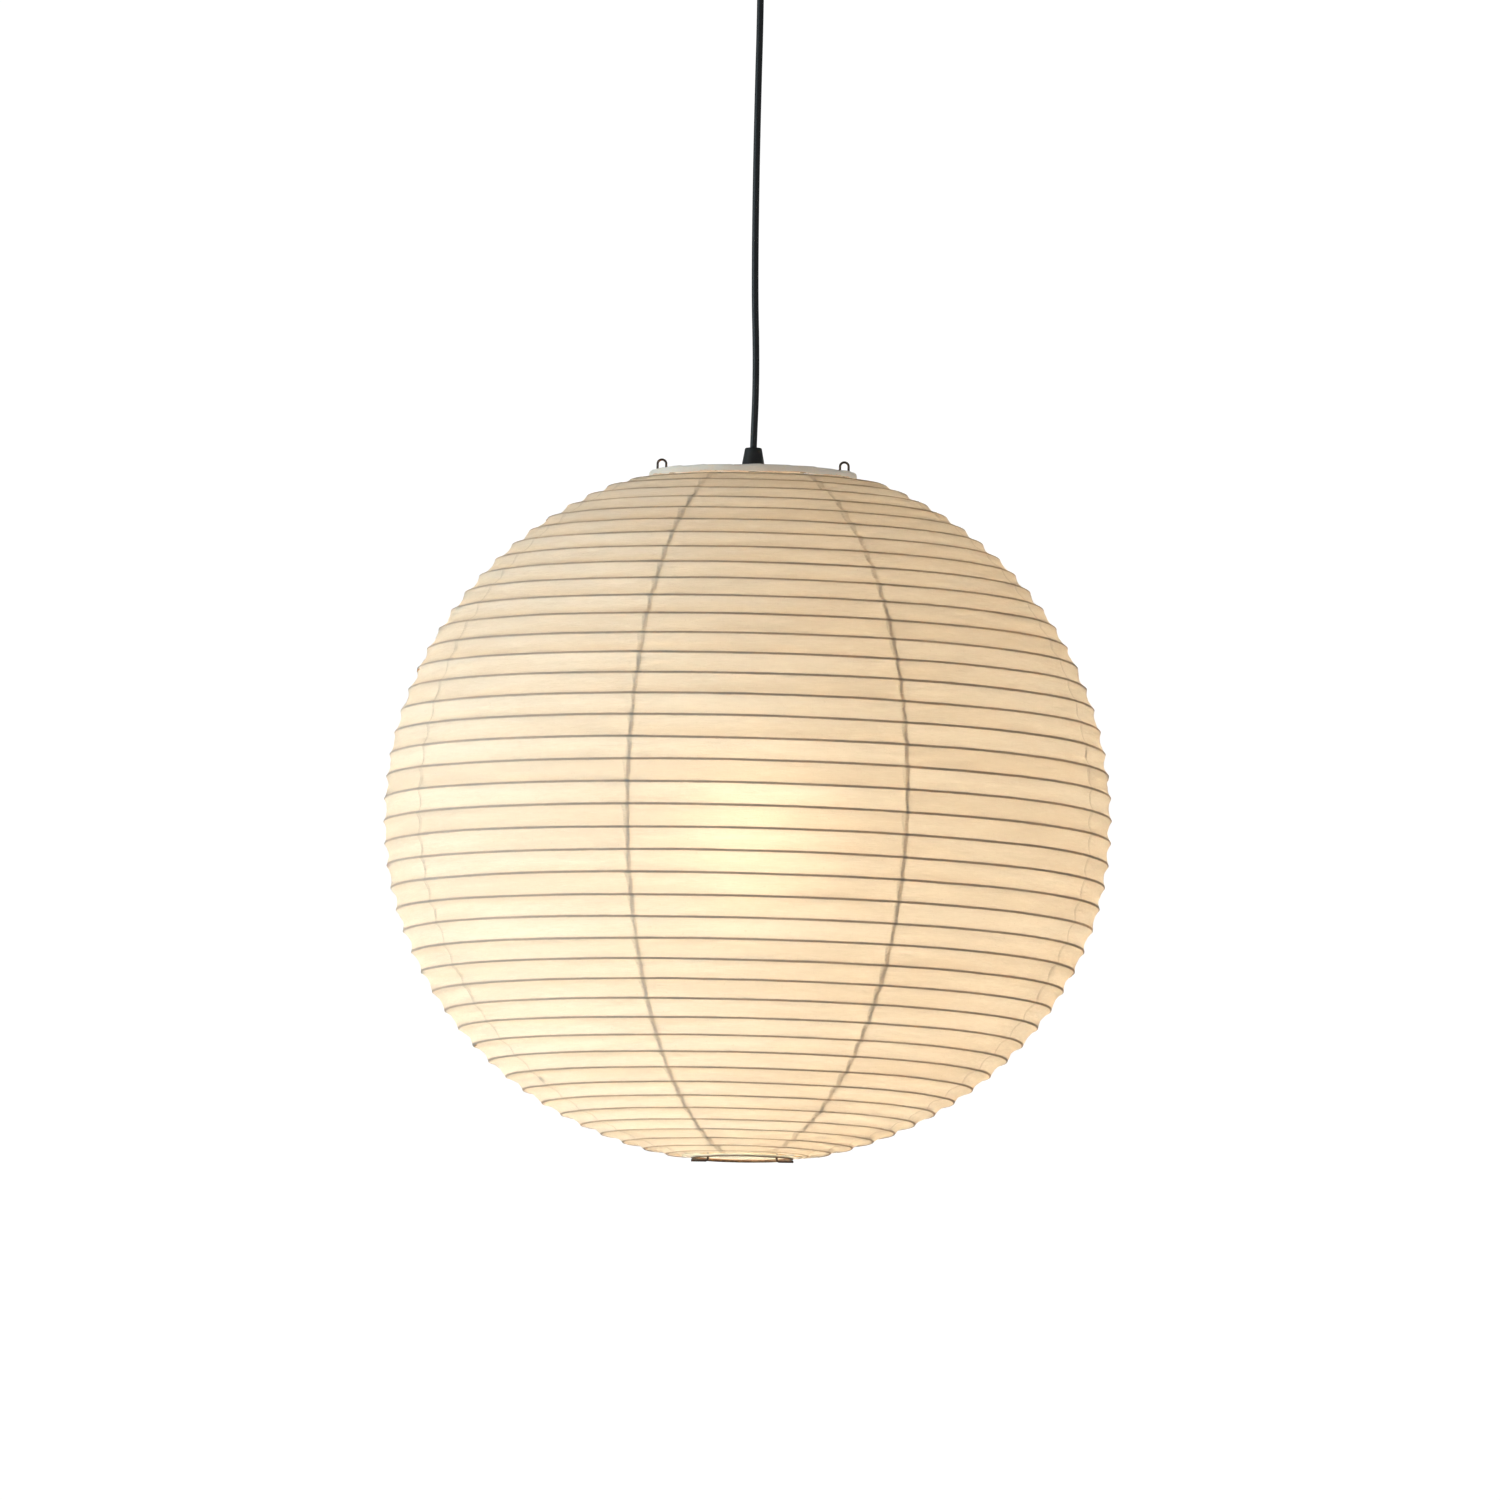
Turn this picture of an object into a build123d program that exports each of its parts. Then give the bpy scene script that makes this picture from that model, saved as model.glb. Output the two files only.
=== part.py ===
from build123d import *

import math
import os

# Pendant lantern: a washi-paper globe on a spiral bamboo rib, held on a wire frame that hangs
# from a black cord.  Millimetres, +Z up, origin on the ceiling plane, on the lantern's axis.
# The front of the lantern is -Y; the frame's two wires stand left (-X) and right (+X).

os.makedirs("parts", exist_ok=True)

# ---------------------------------------------------------------- driving dimensions
# Globe (paper surface over the ribs)
globe_radius = 273.0          # paper radius at the equator
upper_height = 271.0          # upper semi-axis of the globe's outline
lower_height = 256.0          # lower semi-axis of the globe's outline
paper_thickness = 0.4
gore_count = 8
front_seam_angle = -64.5      # direction of one gore seam, from +X, degrees

# Top hoop and bottom ring
hoop_radius = 78.5            # outside of the paper-wrapped top hoop
hoop_height = 6.0
hoop_width = 3.5              # radial width of the wrapped hoop
wrap_thickness = 0.5          # paper wrap around the hoop's core
paper_edge_gap = 0.2          # between the paper's upper edge and the hoop
ring_clearance = 0.35         # between the paper's lower edge and the ring
ring_radius = 37.5            # centre line of the bottom ring's wire
ring_wire = 2.5

# Bamboo rib
rib_diameter = 1.6
rib_gap = 0.15                # glue line between rib and paper
rib_pitch = 17.0              # along the globe's outline
rib_start = 6.25              # along the outline, below the hoop
rib_end_gap = 4.0             # along the outline, above the bottom edge of the paper
half_turns_per_strip = 9

# Cord
cord_diameter = 5.2
cord_length = 346.2           # free length between the two grips
cord_socket = 2.0             # how far the cord enters the lantern's grip
cord_clearance = 0.3

# Lantern cord grip (black tapered cap) and its threaded stem
cap_top_radius = 6.3
cap_rim_radius = 9.7
cap_base_radius = 10.2
cap_shoulder = 1.2
cap_rise = 19.0               # cap top above the hoop's top edge
stem_radius = 5.0
stem_bore_radius = 3.6
stem_in_cap = 12.0            # length of stem inside the cap
stem_below_nut = 3.0
stem_fit = 0.05               # radial clearance on stems and other close fits
nut_flats = 14.0
nut_height = 3.0
cap_screw_radius = 1.55
cap_screw_rise = 5.0          # screw's axis above the hoop's top edge
screw_slot_width = 0.5
screw_slot_depth = 0.8

# Wire frame
frame_wire = 1.8
leg_offset = 34.0             # straight part of each leg, from the axis
loop_centre = 69.0            # centre of each squeeze loop, from the axis
loop_width = 8.3              # outside
loop_rise = 10.0              # top of the loop above the hoop
bridge_width = 7.2
bridge_eye_radius = 12.0
bridge_thickness = 2.0
bridge_drop = 10.0            # bridge's top face below the hoop's top edge
spread_top = 22.0             # where the legs begin to lean inwards, below the hoop's top
spread_bottom = 52.0          # where they stand upright again
hook_reach = 2.2              # hook's tip beyond the hoop's inner face
hook_gap = 0.1
foot_reach = 1.2              # foot's tip beyond the ring wire's centre
foot_offset = 26.0            # where the foot turns down, from the axis
foot_rise = 6.0               # length of the upright stub over the foot
foot_height = 26.0            # where the leg leans in towards its foot, above the ring
foot_bend = 2.2
stub_bend = 6.0
knee_bend = 12.0
spread_lower_bend = 14.0
spread_upper_bend = 10.0
hook_bend = 1.9
seat_gap = 0.3                # general gap between pieces that only rest on each other

# Bulb
bulb_radius = 30.0
bulb_drop = 3.3               # bulb centre below the globe's equator
bulb_length = 108.0
bulb_wall = 1.0
globe_join = 21.0             # glass ends this far above the bulb's centre
housing_wall = 4.0
housing_shoulder = 9.0        # height of the housing's wide part
housing_shoulder_radius = 17.5
housing_neck_radius = 14.0
housing_neck_height = 3.0
board_clearance = 1.6
board_thickness = 1.6
board_seat = 0.2
led_size = 3.0
led_height = 0.8
led_circle = 11.0
led_count = 8
thread_radius = 13.0          # E27 cap, over the thread
thread_length = 22.0
thread_clearance = 0.3
cap_metal = 0.6               # wall of the bulb's metal cap
cap_crimp = 3.0               # how far the metal cap turns in at its top
tip_radius = 4.8
tip_height = 1.6
tip_round = 0.6
insulator_height = 3.0
insulator_taper = 40.0

# Lamp holder
holder_radius = 20.0
holder_wall = 1.6
holder_body_length = 44.0
dome_height = 22.0
holder_flange_radius = 24.0
holder_flange_height = 3.0
flange_from_mouth = 24.0      # flange's lower face above the holder's mouth
clamp_ring_radius = 26.0
clamp_ring_height = 9.0
clamp_flutes = 24
clamp_flute_radius = 0.9
mouth_gap = 1.0               # holder's mouth below the bulb's thread
dome_cord_depth = 4.0         # how far the cord enters the dome
dome_shoulder = 9.0
dome_neck_radius = 7.1
dome_collar_radius = 5.6
dome_collar_height = 6.0
insert_fit = 0.1
insert_recess = 2.0
contact_room = 2.4            # between the bulb's tip and the insert
shell_wall = 0.5
terminal_offset = 9.0
terminal_hole = 2.6
terminal_screw_radius = 2.5
terminal_slot = 0.7
holder_ring_thickness = 1.5
contact_width = 6.0           # centre contact's spring strip
contact_reach = 7.0
contact_thickness = 0.5

# Ceiling fitting
canopy_radius = 50.0
canopy_height = 56.0
canopy_wall = 1.5
canopy_taper = 4.0
canopy_hole_radius = 9.0
canopy_top_gap = 0.5
grip_radius = 8.0
grip_tip_radius = 5.0
grip_below_canopy = 16.0
grip_straight = 6.0           # straight part below the canopy
grip_above_canopy = 10.0
collar_radius = 12.5
collar_height = 4.8
bracket_half_length = 42.0
bracket_width = 18.0
bracket_thickness = 2.0
bracket_drop = 14.0           # top face of the bracket's middle below the ceiling
bracket_flat = 27.0           # half length of the dropped middle
bracket_ramp = 6.5            # horizontal run of each slope
bracket_mitre = 0.9           # sideways shift of the lower face at each bend
fixing_spacing = 75.0
fixing_hole_radius = 2.25
block_size_x = 14.0
block_size_y = 18.0
block_height = 10.0
block_offset = 17.0           # terminal block's centre from the stem
terminal_spacing = 9.0
block_round = 1.5
sleeve_radius = 2.2
sleeve_bore = 1.25
sleeve_recess = 1.0
clamp_screw_radius = 1.6
lead_diameter = 2.0
lead_rise = 8.5               # top of the leads' bend above the bracket's middle
lead_spacing = 2.3            # between the two leads inside the stem
lead_in_stem = 8.0            # leads' lower ends below the bracket's middle
lead_in_block = 4.0
lead_bend = 4.5
stem_above_nut = 1.5
stem_below_canopy = 3.0
canopy_round = 1.2
collar_round = 1.0
pivot_gap = 0.8               # under the ceiling grip, so that the cord can swing

# ---------------------------------------------------------------- levels (z)
canopy_bottom = -canopy_height
grip_bottom = canopy_bottom - grip_below_canopy
cord_top = grip_bottom - pivot_gap
cap_top = cord_top - cord_length
hoop_top = cap_top - cap_rise
hoop_bottom = hoop_top - hoop_height
equator = hoop_bottom - upper_height * math.sqrt(1 - (hoop_radius / globe_radius) ** 2)
ring_level = equator - lower_height * math.sqrt(1 - (ring_radius / globe_radius) ** 2)
bridge_top = hoop_top - bridge_drop
bulb_centre = equator - bulb_drop
bulb_tip_top = bulb_centre - bulb_radius + bulb_length
thread_top = bulb_tip_top - tip_height - insulator_height
thread_bottom = thread_top - thread_length
holder_mouth = thread_bottom - mouth_gap
dome_bottom = holder_mouth + holder_body_length
dome_top = dome_bottom + dome_height
bracket_middle = -bracket_drop - bracket_thickness

cord_radius = cord_diameter / 2
wire_radius = frame_wire / 2
loop_radius = (loop_width - frame_wire) / 2


# ---------------------------------------------------------------- shared shapes
def meridian_plane(angle):
    """Upright plane through the axis; its x points outwards at the angle, its y is up."""
    turn = math.radians(angle)
    return Plane(
        origin=(0, 0, 0),
        x_dir=(math.cos(turn), math.sin(turn), 0),
        z_dir=(math.sin(turn), -math.cos(turn), 0),
    )


def outline_arcs(inset, top_radius, bottom_radius):
    """The globe's outline, set in by inset, as an upper and a lower ellipse arc in XZ."""
    radius = globe_radius - inset
    top_angle = math.degrees(math.acos(top_radius / globe_radius))
    bottom_angle = math.degrees(math.acos(bottom_radius / globe_radius))
    upper = EllipticalCenterArc(
        (0, equator), radius, upper_height - inset, start_angle=0, arc_size=top_angle
    )
    lower = EllipticalCenterArc(
        (0, equator),
        radius,
        lower_height - inset,
        start_angle=360 - bottom_angle,
        arc_size=bottom_angle,
    )
    return upper, lower


def save(node, name):
    """Label a finished piece and write it under its node's name."""
    node.part.label = name
    export_step(node.part, f"parts/{name}.step")


def ring(outer, inner):
    """A flat ring in the current sketch."""
    Circle(outer)
    Circle(inner, mode=Mode.SUBTRACT)


# ---------------------------------------------------------------- paper gores
paper_top_radius = hoop_radius + paper_edge_gap
paper_end_radius = ring_radius + ring_wire / 2 + ring_clearance

for number in range(gore_count):
    seam = front_seam_angle + number * 360 / gore_count
    with BuildPart() as gore:
        with BuildSketch(meridian_plane(seam)):
            with BuildLine():
                outer_upper, outer_lower = outline_arcs(0, paper_top_radius, paper_end_radius)
                inner_upper, inner_lower = outline_arcs(
                    paper_thickness, paper_top_radius, paper_end_radius
                )
                Line(outer_upper @ 1, inner_upper @ 1)
                Line(outer_lower @ 0, inner_lower @ 0)
            make_face()
        revolve(axis=Axis.Z, revolution_arc=360 / gore_count)
    save(gore, f"gore_{number + 1}")

# ---------------------------------------------------------------- bamboo rib, in spliced strips
rib_inset = paper_thickness + rib_gap + rib_diameter / 2
rib_upper, rib_lower = outline_arcs(rib_inset, hoop_radius, paper_end_radius)
upper_length = rib_upper.length
lower_length = rib_lower.length


def rib_point(distance, side):
    """Point on the rib's line at a distance along the outline, on the +X or -X side."""
    if distance < upper_length:
        spot = rib_upper @ (1 - distance / upper_length)
    else:
        spot = rib_lower @ (1 - (distance - upper_length) / lower_length)
    return Vector(side * spot.X, 0, spot.Y)


half_pitch = rib_pitch / 2
half_turns = int((upper_length + lower_length - rib_start - rib_end_gap) / half_pitch)
strip_count = math.ceil(half_turns / half_turns_per_strip)

for strip in range(strip_count):
    first = strip * half_turns_per_strip
    last = min(first + half_turns_per_strip, half_turns)
    with BuildPart() as rib_strip:
        with BuildLine() as rib_path:
            for turn in range(first, last):
                side = 1 if turn % 2 == 0 else -1
                start = rib_point(rib_start + turn * half_pitch, side)
                end = rib_point(rib_start + (turn + 1) * half_pitch, -side)
                middle = (start + end) * 0.5 + Vector(0, side * (end - start).length / 2, 0)
                ThreePointArc(start, middle, end)
        with BuildSketch(Plane(origin=rib_path.line @ 0, z_dir=rib_path.line % 0)):
            Circle(rib_diameter / 2)
        sweep(path=rib_path.line)
    save(rib_strip, f"rib_strip_{strip + 1:02d}")

# ---------------------------------------------------------------- top hoop and bottom ring
hoop_middle = hoop_top - hoop_height / 2

with BuildPart() as hoop_core:
    with BuildSketch(Plane.XZ):
        with Locations((hoop_radius - hoop_width / 2, hoop_middle)):
            RectangleRounded(
                hoop_width - 2 * wrap_thickness, hoop_height - 2 * wrap_thickness, wrap_thickness
            )
    revolve(axis=Axis.Z)
save(hoop_core, "hoop_core")

with BuildPart() as hoop_wrap:
    with BuildSketch(Plane.XZ):
        with Locations((hoop_radius - hoop_width / 2, hoop_middle)):
            RectangleRounded(hoop_width, hoop_height, 2 * wrap_thickness)
            RectangleRounded(
                hoop_width - 2 * wrap_thickness,
                hoop_height - 2 * wrap_thickness,
                wrap_thickness,
                mode=Mode.SUBTRACT,
            )
    revolve(axis=Axis.Z)
save(hoop_wrap, "hoop_wrap")

with BuildPart() as bottom_ring:
    with BuildSketch(Plane.XZ):
        with Locations((ring_radius, ring_level)):
            Circle(ring_wire / 2)
    revolve(axis=Axis.Z)
save(bottom_ring, "bottom_ring")

# ---------------------------------------------------------------- wire frame
loop_top = hoop_top + loop_rise - wire_radius
hook_level = hoop_bottom - hook_gap - wire_radius
foot_level = ring_level - ring_wire / 2 - seat_gap - wire_radius
inner_strand = loop_centre - loop_radius
outer_strand = loop_centre + loop_radius
hook_end = hoop_radius - hoop_width + hook_reach
loop_bend = loop_radius * 0.98   # just under half the loop's width

for side, name in ((-1, "frame_leg_left"), (1, "frame_leg_right")):
    with BuildPart() as leg:
        with BuildLine() as leg_path:
            corners = [
                (ring_radius + foot_reach, foot_level, None),
                (foot_offset, foot_level, foot_bend),
                (foot_offset, ring_level + foot_rise, stub_bend),
                (leg_offset, ring_level + foot_height, knee_bend),
                (leg_offset, hoop_top - spread_bottom, spread_lower_bend),
                (inner_strand, hoop_top - spread_top, spread_upper_bend),
                (inner_strand, loop_top, loop_bend),
                (outer_strand, loop_top, loop_bend),
                (outer_strand, hook_level, hook_bend),
                (hook_end, hook_level, None),
            ]
            FilletPolyline(
                [(side * x, 0, z) for x, z, bend in corners],
                radius=[bend for x, z, bend in corners[1:-1]],
            )
        with BuildSketch(Plane(origin=leg_path.line @ 0, z_dir=leg_path.line % 0)):
            Circle(wire_radius)
        sweep(path=leg_path.line)
    save(leg, name)

with BuildPart() as bridge:
    with BuildSketch(Plane.XY.offset(bridge_top - bridge_thickness)):
        Rectangle(2 * (inner_strand - wire_radius - stem_fit), bridge_width)
        Circle(bridge_eye_radius)
        Circle(stem_radius + stem_fit, mode=Mode.SUBTRACT)
    extrude(amount=bridge_thickness)
save(bridge, "frame_bridge")

ring_plate_top = holder_mouth + flange_from_mouth - seat_gap / 2
with BuildPart() as holder_ring:
    with BuildSketch(Plane.XY.offset(ring_plate_top - holder_ring_thickness)):
        Circle(leg_offset - wire_radius - stem_fit)
        Circle(holder_radius + seat_gap, mode=Mode.SUBTRACT)
    extrude(amount=holder_ring_thickness)
save(holder_ring, "holder_ring")

# ---------------------------------------------------------------- lantern cord grip
stem_top = bridge_top + stem_in_cap
stem_bottom = bridge_top - bridge_thickness - nut_height - stem_below_nut
cap_bore = cord_radius + cord_clearance
cap_screw_level = hoop_top + cap_screw_rise
cap_screw_end = cap_top_radius + seat_gap


def back_plane(distance):
    """Plane that faces backwards (+Y), at a distance behind the axis, on the screw's level."""
    return Plane((0, distance, cap_screw_level), x_dir=(1, 0, 0), z_dir=(0, 1, 0))


with BuildPart() as cord_cap:
    with BuildSketch(Plane.XZ):
        with BuildLine():
            Polyline(
                (cap_bore, cap_top),
                (cap_top_radius, cap_top),
                (cap_rim_radius, hoop_top),
                (cap_base_radius, bridge_top),
                (stem_radius + stem_fit, bridge_top),
                (stem_radius + stem_fit, stem_top + stem_fit),
                (cap_bore, stem_top + stem_fit),
                close=True,
            )
        make_face()
    revolve(axis=Axis.Z)
    fillet(cord_cap.faces().sort_by(Axis.Z)[-1].outer_wire().edges(), cap_shoulder)
    with BuildSketch(back_plane(0)):
        Circle(cap_screw_radius + stem_fit)
    extrude(amount=cap_base_radius, mode=Mode.SUBTRACT)
save(cord_cap, "cord_cap")

# nylon grub screw that grips the cord, at the back of the cap
with BuildPart() as cap_screw:
    with BuildSketch(back_plane(cord_radius + stem_fit)):
        Circle(cap_screw_radius)
    extrude(amount=cap_screw_end - cord_radius - stem_fit)
    with BuildSketch(back_plane(cap_screw_end)):
        Rectangle(2 * cap_screw_radius, screw_slot_width)
    extrude(amount=-screw_slot_depth, mode=Mode.SUBTRACT)
save(cap_screw, "cap_screw")

with BuildPart() as cap_stem:
    with BuildSketch(Plane.XY.offset(stem_bottom)):
        ring(stem_radius, stem_bore_radius)
    extrude(amount=stem_top - stem_bottom)
save(cap_stem, "cap_stem")

with BuildPart() as cap_nut:
    with BuildSketch(Plane.XY.offset(bridge_top - bridge_thickness - nut_height)):
        RegularPolygon(nut_flats / 2, 6, major_radius=False)
        Circle(stem_radius + stem_fit, mode=Mode.SUBTRACT)
    extrude(amount=nut_height)
save(cap_nut, "cap_nut")

# ---------------------------------------------------------------- cord, in its two lengths
with BuildPart() as pendant_cord:
    with BuildSketch(Plane.XY.offset(cap_top - cord_socket)):
        Circle(cord_radius)
    extrude(amount=cord_length + cord_socket)
save(pendant_cord, "pendant_cord")

with BuildPart() as inner_cord:
    with BuildSketch(Plane.XY.offset(dome_top - dome_cord_depth)):
        Circle(cord_radius)
    extrude(amount=cap_top - cord_socket - seat_gap - dome_top + dome_cord_depth)
save(inner_cord, "inner_cord")

# ---------------------------------------------------------------- lamp holder
dome_bore = cord_radius + insert_fit
dome_inner = holder_radius - holder_wall
with BuildPart() as holder_dome:
    with BuildSketch(Plane.XZ):
        with BuildLine():
            Polyline(
                (dome_bore, dome_top),
                (dome_collar_radius, dome_top),
                (dome_neck_radius, dome_top - dome_collar_height),
                (holder_radius - dome_shoulder / 2, dome_bottom + dome_shoulder),
                (holder_radius, dome_bottom + dome_shoulder / 2),
                (holder_radius, dome_bottom),
                (dome_inner, dome_bottom),
                (dome_inner, dome_bottom + dome_shoulder / 2),
                (dome_inner - dome_shoulder / 2, dome_bottom + dome_shoulder - holder_wall),
                (dome_bore, dome_top - dome_collar_height - holder_wall),
                close=True,
            )
        make_face()
    revolve(axis=Axis.Z)
save(holder_dome, "holder_dome")

with BuildPart() as holder_body:
    with BuildSketch(Plane.XY.offset(holder_mouth)):
        ring(holder_radius, dome_inner)
    extrude(amount=holder_body_length)
    with BuildSketch(Plane.XY.offset(holder_mouth + flange_from_mouth)):
        ring(holder_flange_radius, dome_inner)
    extrude(amount=holder_flange_height)
save(holder_body, "holder_body")

clamp_top = ring_plate_top - holder_ring_thickness
with BuildPart() as clamp_ring:
    with BuildSketch(Plane.XY.offset(clamp_top - clamp_ring_height)):
        ring(clamp_ring_radius, holder_radius + insert_fit)
    extrude(amount=clamp_ring_height)
    with BuildSketch(Plane.XY.offset(clamp_top - clamp_ring_height)):
        with PolarLocations(clamp_ring_radius, clamp_flutes):
            Circle(clamp_flute_radius)
    extrude(amount=clamp_ring_height, mode=Mode.SUBTRACT)
save(clamp_ring, "clamp_ring")

# insulating insert that fills the body above the screw shell and carries the contacts
insert_bottom = bulb_tip_top + contact_room
insert_top = dome_bottom - insert_recess
insert_radius = dome_inner - insert_fit
shell_inner = thread_radius + thread_clearance
shell_outer = shell_inner + shell_wall
shell_bottom = holder_mouth + insert_recess

with BuildPart() as holder_insert:
    with BuildSketch(Plane.XY.offset(insert_bottom)):
        Circle(insert_radius)
        with Locations((-terminal_offset, 0), (terminal_offset, 0)):
            Circle(terminal_hole, mode=Mode.SUBTRACT)
    extrude(amount=insert_top - insert_bottom)
    with BuildSketch(Plane.XY.offset(shell_bottom)):
        ring(insert_radius, shell_outer + insert_fit)
    extrude(amount=insert_bottom - shell_bottom)
save(holder_insert, "holder_insert")

with BuildPart() as screw_shell:
    with BuildSketch(Plane.XY.offset(shell_bottom)):
        ring(shell_outer, shell_inner)
    extrude(amount=insert_bottom - shell_bottom)
save(screw_shell, "screw_shell")

contact_level = bulb_tip_top + seat_gap
with BuildPart() as centre_contact:
    with BuildSketch(Plane.XZ.offset(-contact_width / 2)):
        with BuildLine():
            Polyline(
                (-contact_reach, insert_bottom),
                (contact_reach - 1, insert_bottom),
                (contact_reach - 1, insert_bottom - contact_thickness),
                (-contact_reach + contact_thickness, insert_bottom - contact_thickness),
                (-contact_reach + contact_thickness, contact_level + contact_thickness),
                (tip_radius, contact_level + contact_thickness),
                (tip_radius, contact_level),
                (-contact_reach, contact_level),
                close=True,
            )
        make_face()
    extrude(amount=contact_width)
save(centre_contact, "centre_contact")

with BuildPart() as holder_terminals:
    with BuildSketch(Plane.XY.offset(insert_bottom + contact_thickness)):
        with Locations((-terminal_offset, 0), (terminal_offset, 0)):
            Circle(terminal_screw_radius)
    extrude(amount=insert_top - insert_bottom)
    with BuildSketch(Plane.XY.offset(insert_top + contact_thickness)):
        with Locations((-terminal_offset, 0), (terminal_offset, 0)):
            Rectangle(terminal_slot, 2 * terminal_hole)
    extrude(amount=-screw_slot_depth, mode=Mode.SUBTRACT)
save(holder_terminals, "holder_terminals")

# ---------------------------------------------------------------- bulb
join_level = bulb_centre + globe_join
join_radius = math.sqrt(bulb_radius**2 - globe_join**2)

with BuildPart() as bulb_globe:
    with BuildSketch(Plane.XZ):
        with BuildLine():
            outer = ThreePointArc(
                (0, bulb_centre - bulb_radius),
                (bulb_radius, bulb_centre),
                (join_radius, join_level),
            )
            inner = ThreePointArc(
                (0, bulb_centre - bulb_radius + bulb_wall),
                (bulb_radius - bulb_wall, bulb_centre),
                (join_radius - bulb_wall, join_level),
            )
            Line(outer @ 0, inner @ 0)
            Line(outer @ 1, inner @ 1)
        make_face()
    revolve(axis=Axis.Z)
save(bulb_globe, "bulb_globe")

shoulder_level = join_level + housing_shoulder
neck_level = thread_bottom - housing_neck_height
with BuildPart() as bulb_housing:
    with BuildSketch(Plane.XZ):
        with BuildLine():
            Polyline(
                (join_radius - housing_wall, join_level),
                (join_radius, join_level),
                (housing_shoulder_radius, shoulder_level),
                (housing_neck_radius, neck_level),
                (thread_radius, thread_bottom),
                (housing_neck_radius - housing_wall, thread_bottom),
                (housing_neck_radius - housing_wall, neck_level),
                (housing_shoulder_radius - housing_wall, shoulder_level),
                close=True,
            )
        make_face()
    revolve(axis=Axis.Z)
save(bulb_housing, "bulb_housing")

with BuildPart() as led_board:
    with BuildSketch(Plane.XY.offset(join_level + board_seat)):
        Circle(join_radius - housing_wall - board_clearance)
    extrude(amount=board_thickness)
    with BuildSketch(Plane.XY.offset(join_level + board_seat)):
        with PolarLocations(led_circle, led_count):
            Rectangle(led_size, led_size)
    extrude(amount=-led_height)
save(led_board, "led_board")

with BuildPart() as bulb_cap:
    with BuildSketch(Plane.XZ):
        with BuildLine():
            Polyline(
                (thread_radius - cap_metal, thread_bottom),
                (thread_radius, thread_bottom),
                (thread_radius, thread_top - cap_crimp),
                (thread_radius - cap_crimp, thread_top),
                (thread_radius - cap_crimp - cap_metal, thread_top),
                (thread_radius - cap_metal, thread_top - cap_crimp),
                close=True,
            )
        make_face()
    revolve(axis=Axis.Z)
save(bulb_cap, "bulb_cap")

with BuildPart() as bulb_insulator:
    with BuildSketch(Plane.XY.offset(thread_top)):
        Circle(thread_radius - cap_crimp)
    extrude(amount=insulator_height, taper=insulator_taper)
save(bulb_insulator, "bulb_insulator")

with BuildPart() as bulb_tip:
    with BuildSketch(Plane.XY.offset(bulb_tip_top - tip_height + stem_fit)):
        Circle(tip_radius)
    extrude(amount=tip_height - stem_fit)
    fillet(bulb_tip.faces().sort_by(Axis.Z)[-1].edges(), tip_round)
save(bulb_tip, "bulb_tip")

# ---------------------------------------------------------------- ceiling fitting
slope_end = bracket_flat + bracket_ramp
terminal_rows = (-terminal_spacing / 2, terminal_spacing / 2)

with BuildPart() as ceiling_bracket:
    with BuildSketch(Plane.XZ.offset(-bracket_width / 2)):
        with BuildLine():
            Polyline(
                (-bracket_half_length, 0),
                (-slope_end, 0),
                (-bracket_flat, -bracket_drop),
                (bracket_flat, -bracket_drop),
                (slope_end, 0),
                (bracket_half_length, 0),
                (bracket_half_length, -bracket_thickness),
                (slope_end - bracket_mitre, -bracket_thickness),
                (bracket_flat - bracket_mitre, bracket_middle),
                (-bracket_flat + bracket_mitre, bracket_middle),
                (-slope_end + bracket_mitre, -bracket_thickness),
                (-bracket_half_length, -bracket_thickness),
                close=True,
            )
        make_face()
    extrude(amount=bracket_width)
    with Locations((-fixing_spacing / 2, 0, 0), (fixing_spacing / 2, 0, 0)):
        Hole(fixing_hole_radius, depth=bracket_thickness)
    with Locations((0, 0, -bracket_drop)):
        Hole(stem_radius + stem_fit, depth=bracket_thickness)
    with Locations([(block_offset, y, -bracket_drop) for y in terminal_rows]):
        Hole(sleeve_radius, depth=bracket_thickness)
save(ceiling_bracket, "ceiling_bracket")

ceiling_stem_top = -bracket_drop + nut_height + stem_above_nut
ceiling_stem_bottom = canopy_bottom - stem_below_canopy

with BuildPart() as ceiling_stem:
    with BuildSketch(Plane.XY.offset(ceiling_stem_bottom)):
        ring(stem_radius, stem_bore_radius)
    extrude(amount=ceiling_stem_top - ceiling_stem_bottom)
save(ceiling_stem, "ceiling_stem")

with BuildPart() as stem_nuts:
    for nut_bottom in (-bracket_drop, bracket_middle - nut_height):
        with BuildSketch(Plane.XY.offset(nut_bottom)):
            RegularPolygon(nut_flats / 2, 6, major_radius=False)
            Circle(stem_radius + stem_fit, mode=Mode.SUBTRACT)
        extrude(amount=nut_height)
save(stem_nuts, "stem_nuts")

block_bottom = bracket_middle - block_height
screw_level = bracket_middle - block_height / 2
terminal_spots = [(block_offset, y) for y in terminal_rows]

with BuildPart() as terminal_block:
    with BuildSketch(Plane.XY.offset(block_bottom)):
        with Locations((block_offset, 0)):
            RectangleRounded(block_size_x, block_size_y, block_round)
        with Locations(terminal_spots):
            Circle(sleeve_radius + stem_fit, mode=Mode.SUBTRACT)
    extrude(amount=block_height)
    with BuildSketch(Plane((block_offset, 0, screw_level), x_dir=(0, 1, 0), z_dir=(1, 0, 0))):
        with Locations([(y, 0) for y in terminal_rows]):
            Circle(clamp_screw_radius + stem_fit)
    extrude(amount=block_size_x / 2, mode=Mode.SUBTRACT)
save(terminal_block, "terminal_block")

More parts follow.
